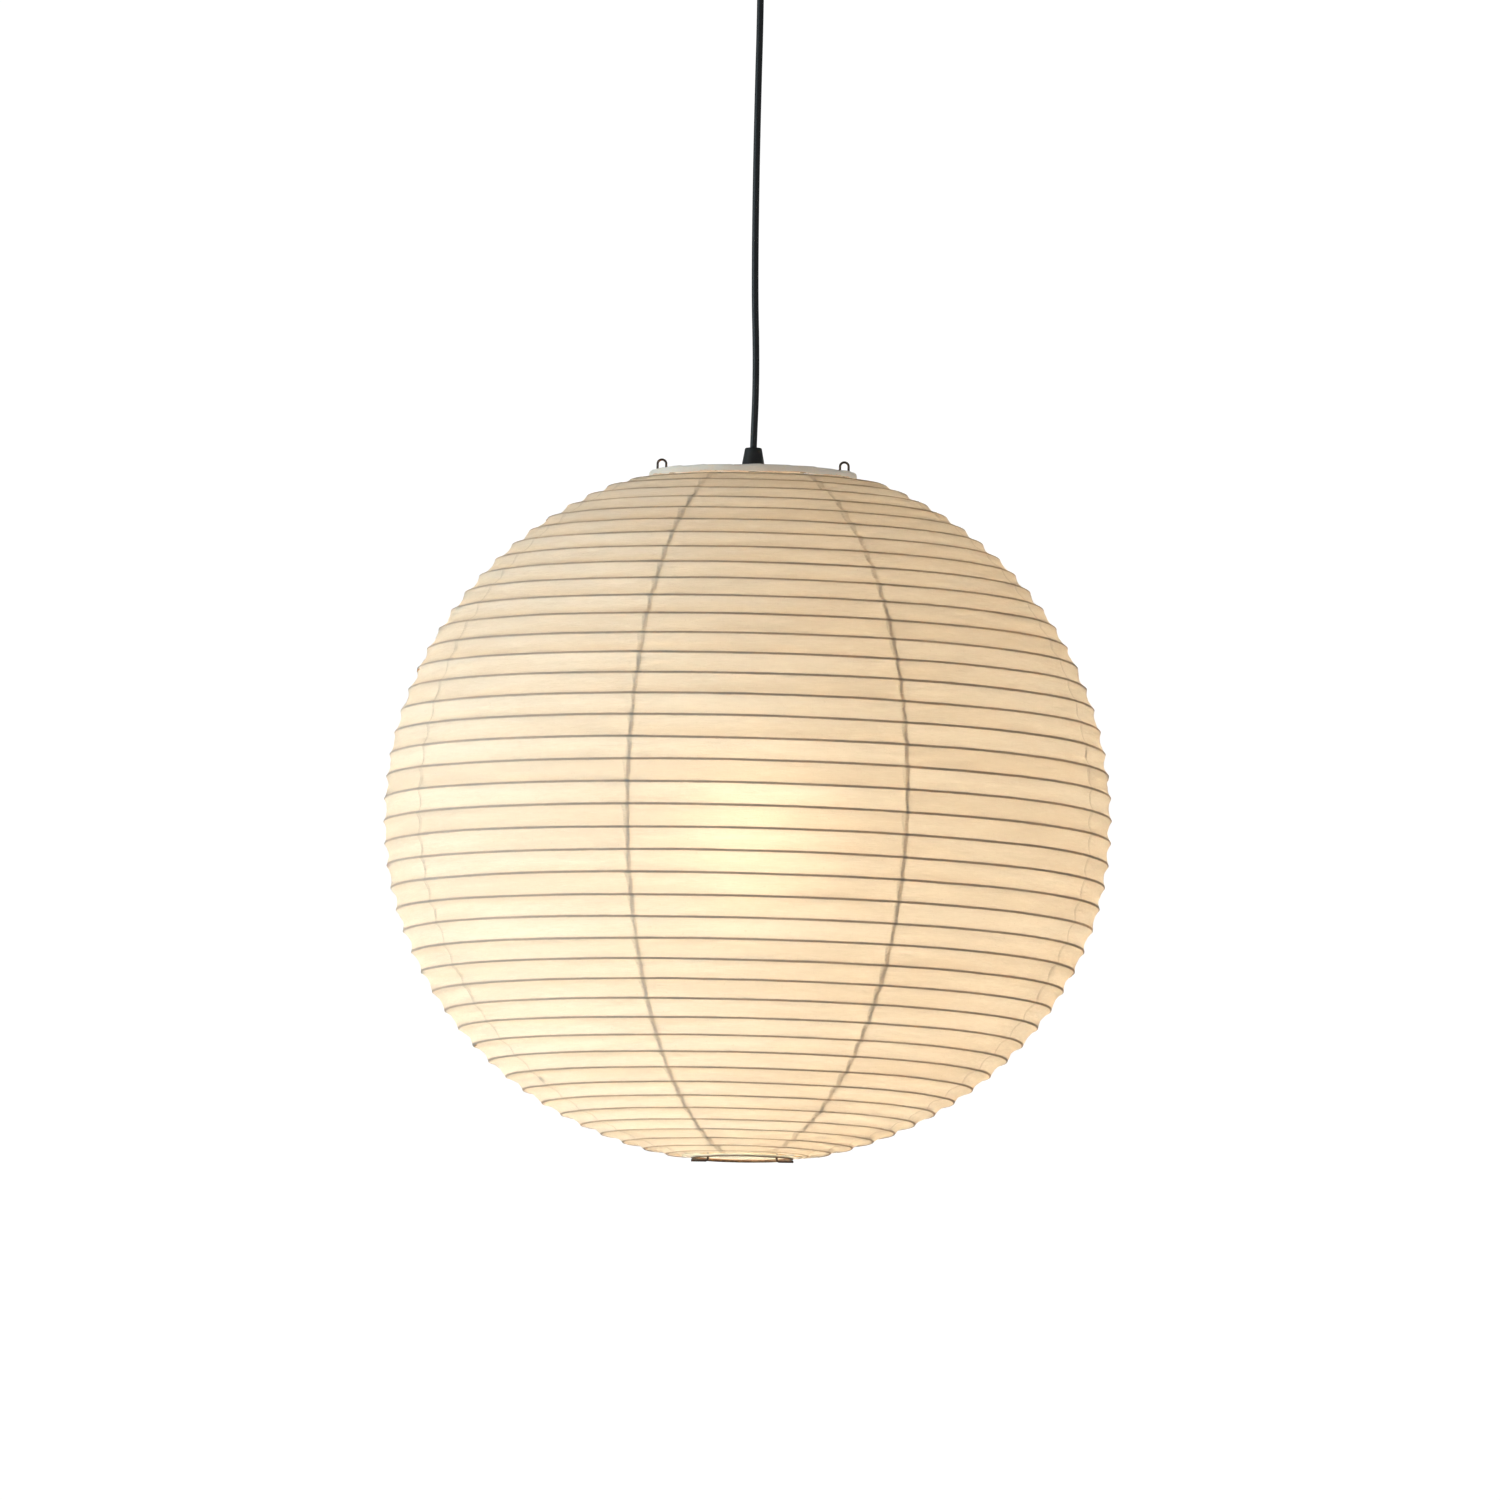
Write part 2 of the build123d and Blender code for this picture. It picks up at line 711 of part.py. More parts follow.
with BuildPart() as terminal_sleeves:
    with BuildSketch(Plane.XY.offset(block_bottom + sleeve_recess)):
        with Locations(terminal_spots):
            ring(sleeve_radius, sleeve_bore)
    extrude(amount=block_height - 1.5 * sleeve_recess)
save(terminal_sleeves, "terminal_sleeves")

screw_foot = block_offset + sleeve_radius + 2 * stem_fit
with BuildPart() as terminal_screws:
    with BuildSketch(Plane((screw_foot, 0, screw_level), x_dir=(0, 1, 0), z_dir=(1, 0, 0))):
        with Locations([(y, 0) for y in terminal_rows]):
            Circle(clamp_screw_radius)
    extrude(amount=block_size_x / 2 - sleeve_radius - screw_slot_width)
save(terminal_screws, "terminal_screws")

lead_start = bracket_middle - lead_in_stem
lead_top = -bracket_drop + lead_rise
for side, name in ((1, "lead_brown"), (-1, "lead_blue")):
    with BuildPart() as lead:
        with BuildLine() as lead_path:
            FilletPolyline(
                (0, side * lead_spacing / 2, lead_start),
                (0, side * lead_spacing / 2, lead_top),
                (block_offset, side * terminal_spacing / 2, lead_top),
                (block_offset, side * terminal_spacing / 2, bracket_middle - lead_in_block),
                radius=lead_bend,
            )
        with BuildSketch(Plane(origin=lead_path.line @ 0, z_dir=lead_path.line % 0)):
            Circle(lead_diameter / 2)
        sweep(path=lead_path.line)
    save(lead, name)

with BuildPart() as cord_tail:
    with BuildSketch(Plane.XY.offset(grip_bottom)):
        Circle(cord_radius)
    extrude(amount=lead_start - seat_gap - grip_bottom)
save(cord_tail, "cord_tail")

with BuildPart() as ceiling_grip:
    with BuildSketch(Plane.XZ):
        with BuildLine():
            Polyline(
                (stem_radius + stem_fit, canopy_bottom + grip_above_canopy),
                (grip_radius, canopy_bottom + grip_above_canopy),
                (grip_radius, canopy_bottom - grip_straight),
                (grip_tip_radius, grip_bottom),
                (dome_bore, grip_bottom),
                (dome_bore, ceiling_stem_bottom - stem_fit),
                (stem_radius + stem_fit, ceiling_stem_bottom - stem_fit),
                close=True,
            )
        make_face()
    revolve(axis=Axis.Z)
save(ceiling_grip, "ceiling_grip")

with BuildPart() as canopy_cup:
    with BuildSketch(Plane.XZ):
        with BuildLine():
            Polyline(
                (canopy_radius, -canopy_top_gap),
                (canopy_radius - canopy_taper, canopy_bottom),
                (canopy_hole_radius, canopy_bottom),
                (canopy_hole_radius, canopy_bottom + canopy_wall),
                (canopy_radius - canopy_wall - canopy_taper, canopy_bottom + canopy_wall),
                (canopy_radius - canopy_wall, -canopy_top_gap),
                close=True,
            )
        make_face()
    revolve(axis=Axis.Z)
    fillet(canopy_cup.faces().sort_by(Axis.Z)[0].outer_wire().edges(), canopy_round)
save(canopy_cup, "canopy_cup")

with BuildPart() as canopy_collar:
    with BuildSketch(Plane.XY.offset(canopy_bottom - collar_height)):
        ring(collar_radius, grip_radius + stem_fit)
    extrude(amount=collar_height)
    fillet(canopy_collar.faces().sort_by(Axis.Z)[0].outer_wire().edges(), collar_round)
save(canopy_collar, "canopy_collar")
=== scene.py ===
import math

import bpy
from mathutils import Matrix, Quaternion, Vector, noise


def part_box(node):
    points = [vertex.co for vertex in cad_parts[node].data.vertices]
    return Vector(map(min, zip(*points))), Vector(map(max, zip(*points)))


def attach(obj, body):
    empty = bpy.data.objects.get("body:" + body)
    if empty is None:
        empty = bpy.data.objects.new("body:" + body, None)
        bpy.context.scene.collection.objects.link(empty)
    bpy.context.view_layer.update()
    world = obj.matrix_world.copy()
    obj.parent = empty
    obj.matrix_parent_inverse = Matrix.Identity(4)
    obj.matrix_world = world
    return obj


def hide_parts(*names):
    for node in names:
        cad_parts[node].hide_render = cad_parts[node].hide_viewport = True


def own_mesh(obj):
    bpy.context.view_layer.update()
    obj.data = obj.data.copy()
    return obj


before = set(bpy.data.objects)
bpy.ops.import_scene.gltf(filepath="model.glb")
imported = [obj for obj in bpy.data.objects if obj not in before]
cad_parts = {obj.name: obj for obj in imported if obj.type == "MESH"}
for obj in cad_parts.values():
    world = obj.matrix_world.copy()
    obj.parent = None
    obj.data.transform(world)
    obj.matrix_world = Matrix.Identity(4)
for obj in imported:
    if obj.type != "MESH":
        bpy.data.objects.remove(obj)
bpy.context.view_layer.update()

bl_info = {
    "name": "Paper Lantern",
    "version": (1, 0, 0),
    "blender": (4, 5, 0),
    "location": "3D View > Sidebar > Lantern",
    "description": "Builds a washi pendant lantern round its packed frame",
    "category": "Object",
}

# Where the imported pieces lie, in metres
HOOP_LOW, HOOP_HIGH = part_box("hoop_wrap")
RING_LOW, RING_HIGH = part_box("bottom_ring")

GORE_COUNT = 8
GORE_SPAN = 2 * math.pi / GORE_COUNT
TURNS_PER_STRIP = 4.5


# ---------------------------------------------------------------- settings
class PaperSettings(bpy.types.PropertyGroup):
    """Sizes of the paper shade and its spiral rib"""

    globe_radius: bpy.props.FloatProperty(
        name="Globe radius", description="Paper radius at the equator",
        default=0.273, unit="LENGTH")
    upper_height: bpy.props.FloatProperty(
        name="Upper height", description="Upper semi-axis of the outline",
        default=0.271, unit="LENGTH")
    lower_height: bpy.props.FloatProperty(
        name="Lower height", description="Lower semi-axis of the outline",
        default=0.256, unit="LENGTH")
    front_seam: bpy.props.FloatProperty(
        name="Front seam", description="Direction of one gore seam from +X",
        default=math.radians(-64.5), subtype="ANGLE")
    rib_pitch: bpy.props.FloatProperty(
        name="Rib pitch", description="Distance between turns of the rib",
        default=0.017, unit="LENGTH")
    rib_start: bpy.props.FloatProperty(
        name="Rib start", description="First rib below the hoop, along the outline",
        default=0.00625, unit="LENGTH")
    rib_diameter: bpy.props.FloatProperty(
        name="Rib diameter", description="Thickness of the split bamboo",
        default=0.0016, unit="LENGTH")
    rib_wander: bpy.props.FloatProperty(
        name="Rib wander", description="How far the rib strays from an even spiral",
        default=0.0016, unit="LENGTH")
    sag: bpy.props.FloatProperty(
        name="Paper sag", description="How far the paper dips between two ribs",
        default=0.0024, unit="LENGTH")
    wrinkle: bpy.props.FloatProperty(
        name="Wrinkle", description="Height of the paper's soft creases",
        default=0.0021, unit="LENGTH")
    lap: bpy.props.FloatProperty(
        name="Seam lap", description="How far one gore lies over the next",
        default=0.0032, unit="LENGTH")


class HoopSettings(bpy.types.PropertyGroup):
    """Sizes of the paper-wrapped top hoop"""

    wrap_width: bpy.props.FloatProperty(
        name="Wrap strip", description="Width of the paper strip wound on the hoop",
        default=0.022, unit="LENGTH")
    waviness: bpy.props.FloatProperty(
        name="Waviness", description="How uneven the wrapped hoop is",
        default=0.0010, unit="LENGTH")


class CordSettings(bpy.types.PropertyGroup):
    """Sizes of the pendant cord"""

    diameter: bpy.props.FloatProperty(
        name="Diameter", description="Outside of the cord's sheath",
        default=0.0052, unit="LENGTH")
    length: bpy.props.FloatProperty(
        name="Length", description="Free length between the two grips",
        default=0.3462, unit="LENGTH")


class FinishSettings(bpy.types.PropertyGroup):
    """Colours of the lantern's main finishes"""

    paper: bpy.props.FloatVectorProperty(
        name="Paper", description="Paper seen by reflected light",
        default=(0.85, 0.85, 0.80), size=3, subtype="COLOR")
    paper_glow: bpy.props.FloatVectorProperty(
        name="Paper glow", description="Paper seen with light behind it",
        default=(0.92, 0.80, 0.64), size=3, subtype="COLOR")
    # The rib seen through the paper: its own tint in reflected light, and a painted shadow of the
    # rib in the light let through
    rib_tint_and_shadow: bpy.props.FloatVectorProperty(
        name="Rib shade", description="The rib seen through the paper",
        default=(0.40, 0.25, 0.11), size=3, subtype="COLOR")
    bamboo: bpy.props.FloatVectorProperty(
        name="Bamboo", description="The rib itself",
        default=(0.42, 0.30, 0.16), size=3, subtype="COLOR")
    cord: bpy.props.FloatVectorProperty(
        name="Cord", description="Cord sheath",
        default=(0.0045, 0.0050, 0.0055), size=3, subtype="COLOR")


class StudioSettings(bpy.types.PropertyGroup):
    """The lamp's own light and the studio's"""

    bulb_strength: bpy.props.FloatProperty(
        name="Bulb", description="Brightness of the lit bulb", default=108.0)
    bulb_colour: bpy.props.FloatVectorProperty(
        name="Bulb colour", description="Colour of the lit bulb",
        default=(1.0, 0.86, 0.65), size=3, subtype="COLOR")
    side_power: bpy.props.FloatProperty(
        name="Side light", description="Power of the soft light on the left",
        default=58.0, unit="POWER")
    fill_power: bpy.props.FloatProperty(
        name="Fill light", description="Power of the weak light on the right",
        default=6.0, unit="POWER")
    floor_power: bpy.props.FloatProperty(
        name="Bounce", description="Power of the soft light from the floor",
        default=1.0, unit="POWER")
    room_light: bpy.props.FloatProperty(
        name="Room light", description="Even light from the white room's walls", default=0.55)
    camera_distance: bpy.props.FloatProperty(
        name="Camera distance", description="From the lantern's axis",
        default=20.0, unit="LENGTH")
    camera_rise: bpy.props.FloatProperty(
        name="Camera angle", description="How far the camera looks up",
        default=math.radians(4.5), subtype="ANGLE")
    camera_roll: bpy.props.FloatProperty(
        name="Camera roll", description="Small lean of the picture",
        default=math.radians(0.9), subtype="ANGLE")
    floor_level: bpy.props.FloatProperty(
        name="Floor level", description="Height of the floor below the ceiling",
        default=-2.4, unit="LENGTH")


# ---------------------------------------------------------------- node helper
class NodeBench:
    """Adds nodes to a tree, fed with numbers or with other nodes' sockets"""

    def __init__(self, tree):
        self.tree = tree

    def feed(self, socket, value):
        if isinstance(value, bpy.types.NodeSocket):
            self.tree.links.new(value, socket)
        else:
            socket.default_value = value

    def add(self, kind, inputs=None, **choices):
        node = self.tree.nodes.new(kind)
        for name, value in choices.items():
            setattr(node, name, value)
        for key, value in (inputs or {}).items():
            self.feed(node.inputs[key], value)
        return node

    def maths(self, operation, *values):
        return self.add("ShaderNodeMath", dict(enumerate(values)), operation=operation).outputs[0]

    def plus(self, first, second):
        return self.maths("ADD", first, second)

    def minus(self, first, second):
        return self.maths("SUBTRACT", first, second)

    def times(self, first, second):
        return self.maths("MULTIPLY", first, second)

    def vector(self, x, y, z):
        return self.add("ShaderNodeCombineXYZ", {"X": x, "Y": y, "Z": z}).outputs[0]

    def split(self, vector):
        return self.add("ShaderNodeSeparateXYZ", {0: vector}).outputs

    def remap(self, value, low, high, to_low=0.0, to_high=1.0, smooth=True):
        kind = "SMOOTHSTEP" if smooth else "LINEAR"
        inputs = dict(enumerate((value, low, high, to_low, to_high)))
        return self.add("ShaderNodeMapRange", inputs, interpolation_type=kind,
                        clamp=True).outputs[0]

    def noise(self, place, scale, detail, roughness=0.5, distortion=0.0):
        return self.add("ShaderNodeTexNoise", {
            "Vector": place, "Scale": scale, "Detail": detail, "Roughness": roughness,
            "Distortion": distortion}).outputs[0]

    def chance(self, number):
        """A share from 0 to 1 that is always the same for the same number"""
        return self.add("ShaderNodeTexWhiteNoise", {"W": number},
                        noise_dimensions="1D").outputs[0]

    def relief(self, height, strength, depth):
        return self.add("ShaderNodeBump", {
            "Strength": strength, "Distance": depth, "Height": height}).outputs[0]

    def mix(self, share, first, second):
        return self.add("ShaderNodeMixShader", {
            0: share, 1: first.outputs[0], 2: second.outputs[0]})


def geometry_tree(name, inputs, outputs=(("Geometry", "NodeSocketGeometry"),)):
    """A new geometry tree with named inputs, and the bench, group input and group output"""
    tree = bpy.data.node_groups.new(name, "GeometryNodeTree")
    for label, kind in inputs:
        tree.interface.new_socket(label, in_out="INPUT", socket_type=kind)
    for label, kind in outputs:
        tree.interface.new_socket(label, in_out="OUTPUT", socket_type=kind)
    bench = NodeBench(tree)
    start = bench.add("NodeGroupInput")
    end = bench.add("NodeGroupOutput")
    return tree, bench, start.outputs, end.inputs


def end_tree(bench, given, result, geometry):
    """Smooths the tree's mesh, gives it its material and hands it out"""
    smooth = bench.add("GeometryNodeSetShadeSmooth", {"Geometry": geometry}).outputs[0]
    real = bench.add("GeometryNodeRealizeInstances", {"Geometry": smooth}).outputs[0]
    done = bench.add("GeometryNodeSetMaterial", {
        "Geometry": real, "Material": given["Material"]}).outputs[0]
    bench.feed(result["Geometry"], done)


def grow(name, tree, base_mesh, values):
    """Runs a geometry tree on base_mesh and returns the result as an object of plain mesh"""
    host = bpy.data.objects.new(name + "_host", base_mesh)
    bpy.context.scene.collection.objects.link(host)
    modifier = host.modifiers.new("Grow", "NODES")
    modifier.node_group = tree
    for item in tree.interface.items_tree:
        if item.item_type == "SOCKET" and item.in_out == "INPUT" and item.name in values:
            modifier[item.identifier] = values[item.name]
    graph = bpy.context.evaluated_depsgraph_get()
    mesh = bpy.data.meshes.new_from_object(
        host.evaluated_get(graph), preserve_all_data_layers=True, depsgraph=graph)
    bpy.data.objects.remove(host)
    if not mesh.polygons:
        raise RuntimeError(f"{name}: the tree made no faces")
    piece = bpy.data.objects.new(name, mesh)
    mesh.name = name
    bpy.context.scene.collection.objects.link(piece)
    return piece


def piece_from(name, points, faces):
    """A flat-shaded object of plain mesh from points and faces"""
    mesh = bpy.data.meshes.new(name)
    mesh.from_pydata(points, [], faces)
    mesh.validate()
    piece = bpy.data.objects.new(name, mesh)
    bpy.context.scene.collection.objects.link(piece)
    return piece


def settle(piece, body, replaced):
    """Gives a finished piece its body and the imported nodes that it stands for"""
    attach(piece, body)
    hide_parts(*replaced)


# ---------------------------------------------------------------- materials
def new_material(name):
    """A bare material, its bench, its Object coordinates and the socket for its shader"""
    material = bpy.data.materials.new(name)
    material.use_nodes = True
    material.node_tree.nodes.clear()
    bench = NodeBench(material.node_tree)
    place = bench.add("ShaderNodeTexCoord").outputs["Object"]
    surface = bench.add("ShaderNodeOutputMaterial").inputs["Surface"]
    return material, bench, place, surface


def blend_colours(bench, factor, first, second):
    """Mixes two colours, each given as numbers or as a socket"""
    node = bench.add("ShaderNodeMix", {"Factor": factor}, data_type="RGBA")
    colour_inputs, colour_output = (6, 7), 2
    for index, colour in zip(colour_inputs, (first, second)):
        if not isinstance(colour, bpy.types.NodeSocket):
            colour = (*colour[:3], 1.0)
        bench.feed(node.inputs[index], colour)
    return node.outputs[colour_output]


def worked_surface(name, colour, other, patch, rough, grain, depth, stretch=(1, 1, 1),
                   metal=0.0, coat=0.0, through=0.0):
    """A finish whose colour drifts in patches and whose gloss and relief follow a fine grain"""
    material, bench, place, surface = new_material(name)
    laid = bench.add("ShaderNodeMapping", {"Vector": place, "Scale": stretch}).outputs[0]
    drift = bench.noise(laid, patch, 4.0, 0.6)
    fine = bench.noise(laid, grain, 3.0, 0.55)
    shader = bench.add("ShaderNodeBsdfPrincipled", {
        "Base Color": blend_colours(bench, bench.remap(drift, 0.32, 0.68), colour, other),
        "Roughness": bench.remap(fine, 0.3, 0.7, rough[0], rough[1], smooth=False),
        "Metallic": metal, "Coat Weight": coat, "Normal": bench.relief(fine, 0.6, depth)})
    if through:
        behind = bench.add("ShaderNodeBsdfTranslucent", {"Color": (*other[:3], 1.0)})
        shader = bench.mix(through, shader, behind)
    bench.feed(surface, shader.outputs[0])
    return material


def seam_strokes(bench, seam, part, band, ragged, fibre, lap):
    """Where the gores lap: one faint slanted stroke for each band between two ribs"""
    shift = bench.times(bench.minus(bench.chance(band), 0.5), lap * 0.9)
    slant = bench.times(bench.minus(part, 0.5), lap * 0.8)
    place = bench.plus(bench.plus(seam, slant), bench.plus(shift, ragged))
    off = bench.maths("ABSOLUTE", bench.minus(place, lap * 0.9))
    stroke = bench.remap(off, 0.0016, 0.0004)
    doubled = bench.remap(place, lap * 0.95, lap * 0.6, 0.0, 0.35)
    frayed = bench.remap(fibre, 0.38, 0.58, 0.35, 1.0)
    near_rib = bench.remap(bench.maths("PINGPONG", part, 0.5), 0.02, 0.22, 0.45, 1.0)
    stroke = bench.times(stroke, bench.times(frayed, near_rib))
    return bench.maths("MAXIMUM", stroke, doubled)


def washi_material(finish, paper, middle):
    """Handmade paper that glows: fibres, cloudy thickness, glued rib line with a painted shadow
    of the rib, and lapped seam
    """
    material, bench, place, surface = new_material("Washi")
    turn = bench.add("ShaderNodeAttribute", attribute_name="rib_turn").outputs["Fac"]
    seam = bench.add("ShaderNodeAttribute", attribute_name="from_seam").outputs["Fac"]
    part = bench.maths("FRACT", turn)
    band = bench.maths("FLOOR", turn)
    to_rib = bench.times(bench.maths("PINGPONG", turn, 0.5), paper.rib_pitch)

    # Clouds and fibres are drawn out level, along the ribs
    level = bench.add("ShaderNodeMapping", {
        "Vector": place, "Scale": (1.0, 1.0, 9.0)}).outputs[0]
    cloud = bench.noise(level, 7.0, 5.0, 0.62)
    fibre = bench.noise(level, 95.0, 4.0, 0.7, 0.8)
    fleck = bench.noise(place, 420.0, 2.0)

    # Painted light: the rib's line is drawn fainter towards -X, the side that faces the strongest
    # light, as if that light washed it out
    ragged = bench.times(bench.minus(fibre, 0.5), 0.0006)
    side_light_fade = bench.remap(bench.split(place)["X"], -paper.globe_radius, -0.05, 0.35, 1.0)
    rib_line_and_shadow = bench.times(bench.remap(bench.plus(to_rib, ragged), 0.0012, 0.00045), side_light_fade)
    lap_mask = seam_strokes(bench, seam, part, band, ragged, fibre, paper.lap)

    tone = bench.plus(bench.times(cloud, 0.5), bench.times(fibre, 0.35))
    tone = bench.plus(tone, bench.times(bench.chance(band), 0.15))
    tone = bench.remap(tone, 0.36, 0.66)
    pale, glow = finish.paper, finish.paper_glow
    reflected = blend_colours(bench, tone, [c * 0.93 for c in pale], [c * 1.06 for c in pale])
    reflected = blend_colours(bench, bench.times(rib_line_and_shadow, 0.34), reflected, finish.rib_tint_and_shadow)
    reflected = blend_colours(bench, bench.times(lap_mask, 0.22), reflected, (0.50, 0.43, 0.32))
    through = blend_colours(bench, tone, (glow[0] * 0.95, glow[1] * 0.91, glow[2] * 0.86),
                            (glow[0] * 1.03, glow[1] * 1.03, glow[2] * 1.04))
    # Painted shadow: the rib darkens the light let through the paper, on top of the shadow that
    # the real rib behind it casts
    through = blend_colours(bench, bench.times(rib_line_and_shadow, 0.88), through, finish.rib_tint_and_shadow)
    through = blend_colours(bench, bench.times(lap_mask, 0.55), through, [c * 0.55 for c in glow])
    speck = bench.remap(fleck, 0.70, 0.76, 0.0, 0.35)
    through = blend_colours(bench, speck, through, (0.60, 0.45, 0.28))

    height = bench.plus(bench.times(fibre, 0.7), bench.times(fleck, 0.3))
    relief = bench.relief(height, 0.6, 0.0009)
    face = bench.add("ShaderNodeBsdfPrincipled", {
        "Base Color": reflected, "Roughness": bench.remap(fibre, 0.3, 0.7, 0.72, 0.92),
        "Specular IOR Level": 0.25, "Sheen Weight": 0.12, "Normal": relief})
    behind = bench.add("ShaderNodeBsdfTranslucent", {"Color": through, "Normal": relief})
    outwards = bench.add("ShaderNodeVectorMath", {0: place, 1: (0.0, 0.0, middle)},
                         operation="SUBTRACT").outputs[0]
    outwards = bench.add("ShaderNodeVectorTransform", {"Vector": outwards},
                         vector_type="NORMAL", convert_from="OBJECT",
                         convert_to="WORLD").outputs[0]
    haze = bench.add("ShaderNodeBsdfRefraction", {
        "Color": through, "Roughness": 0.85, "IOR": 1.3, "Normal": outwards})
    through_share, haze_share = 0.46, 0.011
    sheet = bench.mix(haze_share, bench.mix(through_share, face, behind), haze)
    bench.feed(surface, sheet.outputs[0])
    return material


def pale_floor_material():
    """A pale studio floor that looks brighter than the light it throws back up"""
    material, bench, place, surface = new_material("PaleFloor")
    drift = bench.remap(bench.noise(place, 1.5, 4.0), 0.35, 0.65)
    tone = blend_colours(bench, drift, (0.86, 0.855, 0.845), (0.83, 0.825, 0.815))
    matt = bench.add("ShaderNodeBsdfPrincipled", {"Base Color": tone, "Roughness": 0.7})
    even = bench.add("ShaderNodeEmission", {"Color": tone, "Strength": 0.95})
    seen = bench.add("ShaderNodeLightPath").outputs["Is Camera Ray"]
    bench.feed(surface, bench.mix(bench.times(seen, 0.9), matt, even).outputs[0])
    return material


def hoop_paper_material(level):
    """Cream strips wound on the hoop, with the shade's paper glued up over the lower edge, and a
    painted glow of the lamp inside
    """
    material, bench, place, surface = new_material("HoopPaper")
    ragged = bench.noise(place, 55.0, 4.0, 0.6)
    cloud = bench.noise(place, 26.0, 5.0, 0.65)
    fibre = bench.noise(place, 800.0, 3.0)
    edge = bench.maths("MULTIPLY_ADD", ragged, -0.0085, bench.split(place)["Z"])
    over = bench.remap(edge, level - 0.0036, level - 0.0029, 1.0, 0.0)
    wrap = blend_colours(bench, bench.remap(cloud, 0.36, 0.64), (0.98, 0.92, 0.82),
                         (0.90, 0.81, 0.70))
    tint = blend_colours(bench, bench.times(over, 0.7), wrap, (0.80, 0.62, 0.44))
    relief = bench.relief(bench.plus(bench.times(fibre, 0.4), over), 0.6, 0.0004)
    # Painted glow: a weak emission stands in for the lamp's light coming through the hoop paper
    face = bench.add("ShaderNodeBsdfPrincipled", {
        "Base Color": tint, "Roughness": bench.remap(fibre, 0.3, 0.7, 0.7, 0.9),
        "Specular IOR Level": 0.25, "Emission Color": tint, "Emission Strength": 0.20,
        "Normal": relief})
    behind = bench.add("ShaderNodeBsdfTranslucent", {"Color": tint, "Normal": relief})
    bench.feed(surface, bench.mix(0.20, face, behind).outputs[0])
    return material


def rim_material(level):
    """The bottom ring, with the paper glued over its outside and a brown wire showing below"""
    material, bench, place, surface = new_material("RingWire")
    x, y, z = bench.split(place)
    across = bench.maths("SQRT", bench.plus(bench.times(x, x), bench.times(y, y)))
    grain = bench.noise(place, 140.0, 4.0)
    fine = bench.noise(place, 1500.0, 2.0)
    edge = bench.plus(z, bench.times(bench.minus(grain, 0.5), 0.0009))
    above = bench.remap(edge, level + 0.0005, level + 0.0009)
    outside = bench.remap(across, RING_HIGH.x - 0.0022, RING_HIGH.x - 0.0016)
    bare = blend_colours(bench, bench.remap(grain, 0.35, 0.65), (0.36, 0.20, 0.10),
                         (0.22, 0.11, 0.055))
    tint = blend_colours(bench, bench.times(above, outside), bare, (0.82, 0.74, 0.60))
    face = bench.add("ShaderNodeBsdfPrincipled", {
        "Base Color": tint, "Roughness": bench.remap(fine, 0.3, 0.7, 0.45, 0.7),
        "Normal": bench.relief(fine, 0.5, 0.0001)})
    bench.feed(surface, face.outputs[0])
    return material


def lit_glass_material(studio):
    """Opal glass with the lit lamp behind it"""
    material, bench, place, surface = new_material("OpalGlassLit")
    satin = bench.noise(place, 900.0, 2.0)
    shader = bench.add("ShaderNodeBsdfPrincipled", {
        "Base Color": (0.95, 0.93, 0.88, 1.0),
        "Roughness": bench.remap(satin, 0.3, 0.7, 0.28, 0.4),
        "Emission Color": (*studio.bulb_colour, 1.0),
        "Emission Strength": studio.bulb_strength})
    bench.feed(surface, shader.outputs[0])
    return material


def paint_nodes(material, *nodes):
    """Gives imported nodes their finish"""
    for name in nodes:
        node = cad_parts[name]
        node.data.materials.clear()
        node.data.materials.append(material)


# ---------------------------------------------------------------- the globe's outline
def equator_level(paper):
    """Height of the globe's widest place, its outline starting at the hoop's lower edge"""
    rise = paper.upper_height * math.sqrt(1 - (HOOP_HIGH.x / paper.globe_radius) ** 2)
    return HOOP_LOW.z - rise


def outline_points(paper, steps=420):
    """The line over the ribs in the XZ half plane, from the hoop down to the bottom ring.
    Between its fixed ends it stands a little proud, as the paper over the ribs does."""
    hoop_gap, ring_lap = 0.0002, 0.0012
    proud_top, proud_middle, proud_bottom = 0.0046, 0.0020, 0.0016
    equator = equator_level(paper)
    ring_top = (RING_LOW.z + RING_HIGH.z) / 2 + ring_lap
    radius = paper.globe_radius
    first = math.asin(min(1.0, (HOOP_LOW.z - hoop_gap - equator) / paper.upper_height))
    last = math.asin(max(-1.0, (ring_top - equator) / paper.lower_height))
    points = []
    for step in range(steps + 1):
        share = step / steps
        angle = first + (last - first) * share
        height = paper.upper_height if angle > 0 else paper.lower_height
        r, z = radius * math.cos(angle), equator + height * math.sin(angle)
        normal = Vector((math.cos(angle) / radius, math.sin(angle) / height)).normalized()
        above, below = min(1.0, share * 2), max(0.0, share * 2 - 1)
        proud = proud_top - (proud_top - proud_middle) * above
        proud -= (proud_middle - proud_bottom) * below
        proud *= min(1.0, share / 0.03) * min(1.0, (1 - share) / 0.02)
        points.append((r + normal.x * proud, z + normal.y * proud))
    return points


def outline_mesh(paper):
    """The outline as a mesh of edges, with its length and the area of one gore over it"""
    points = outline_points(paper)
    mesh = bpy.data.meshes.new("globe_outline")
    mesh.from_pydata([(r, 0.0, z) for r, z in points],
                     [(i, i + 1) for i in range(len(points) - 1)], [])
    length = sum(math.dist(a, b) for a, b in zip(points, points[1:]))
    area = sum(math.dist(a, b) * (a[0] + b[0]) / 2 for a, b in zip(points, points[1:]))
    return mesh, length, area * GORE_SPAN


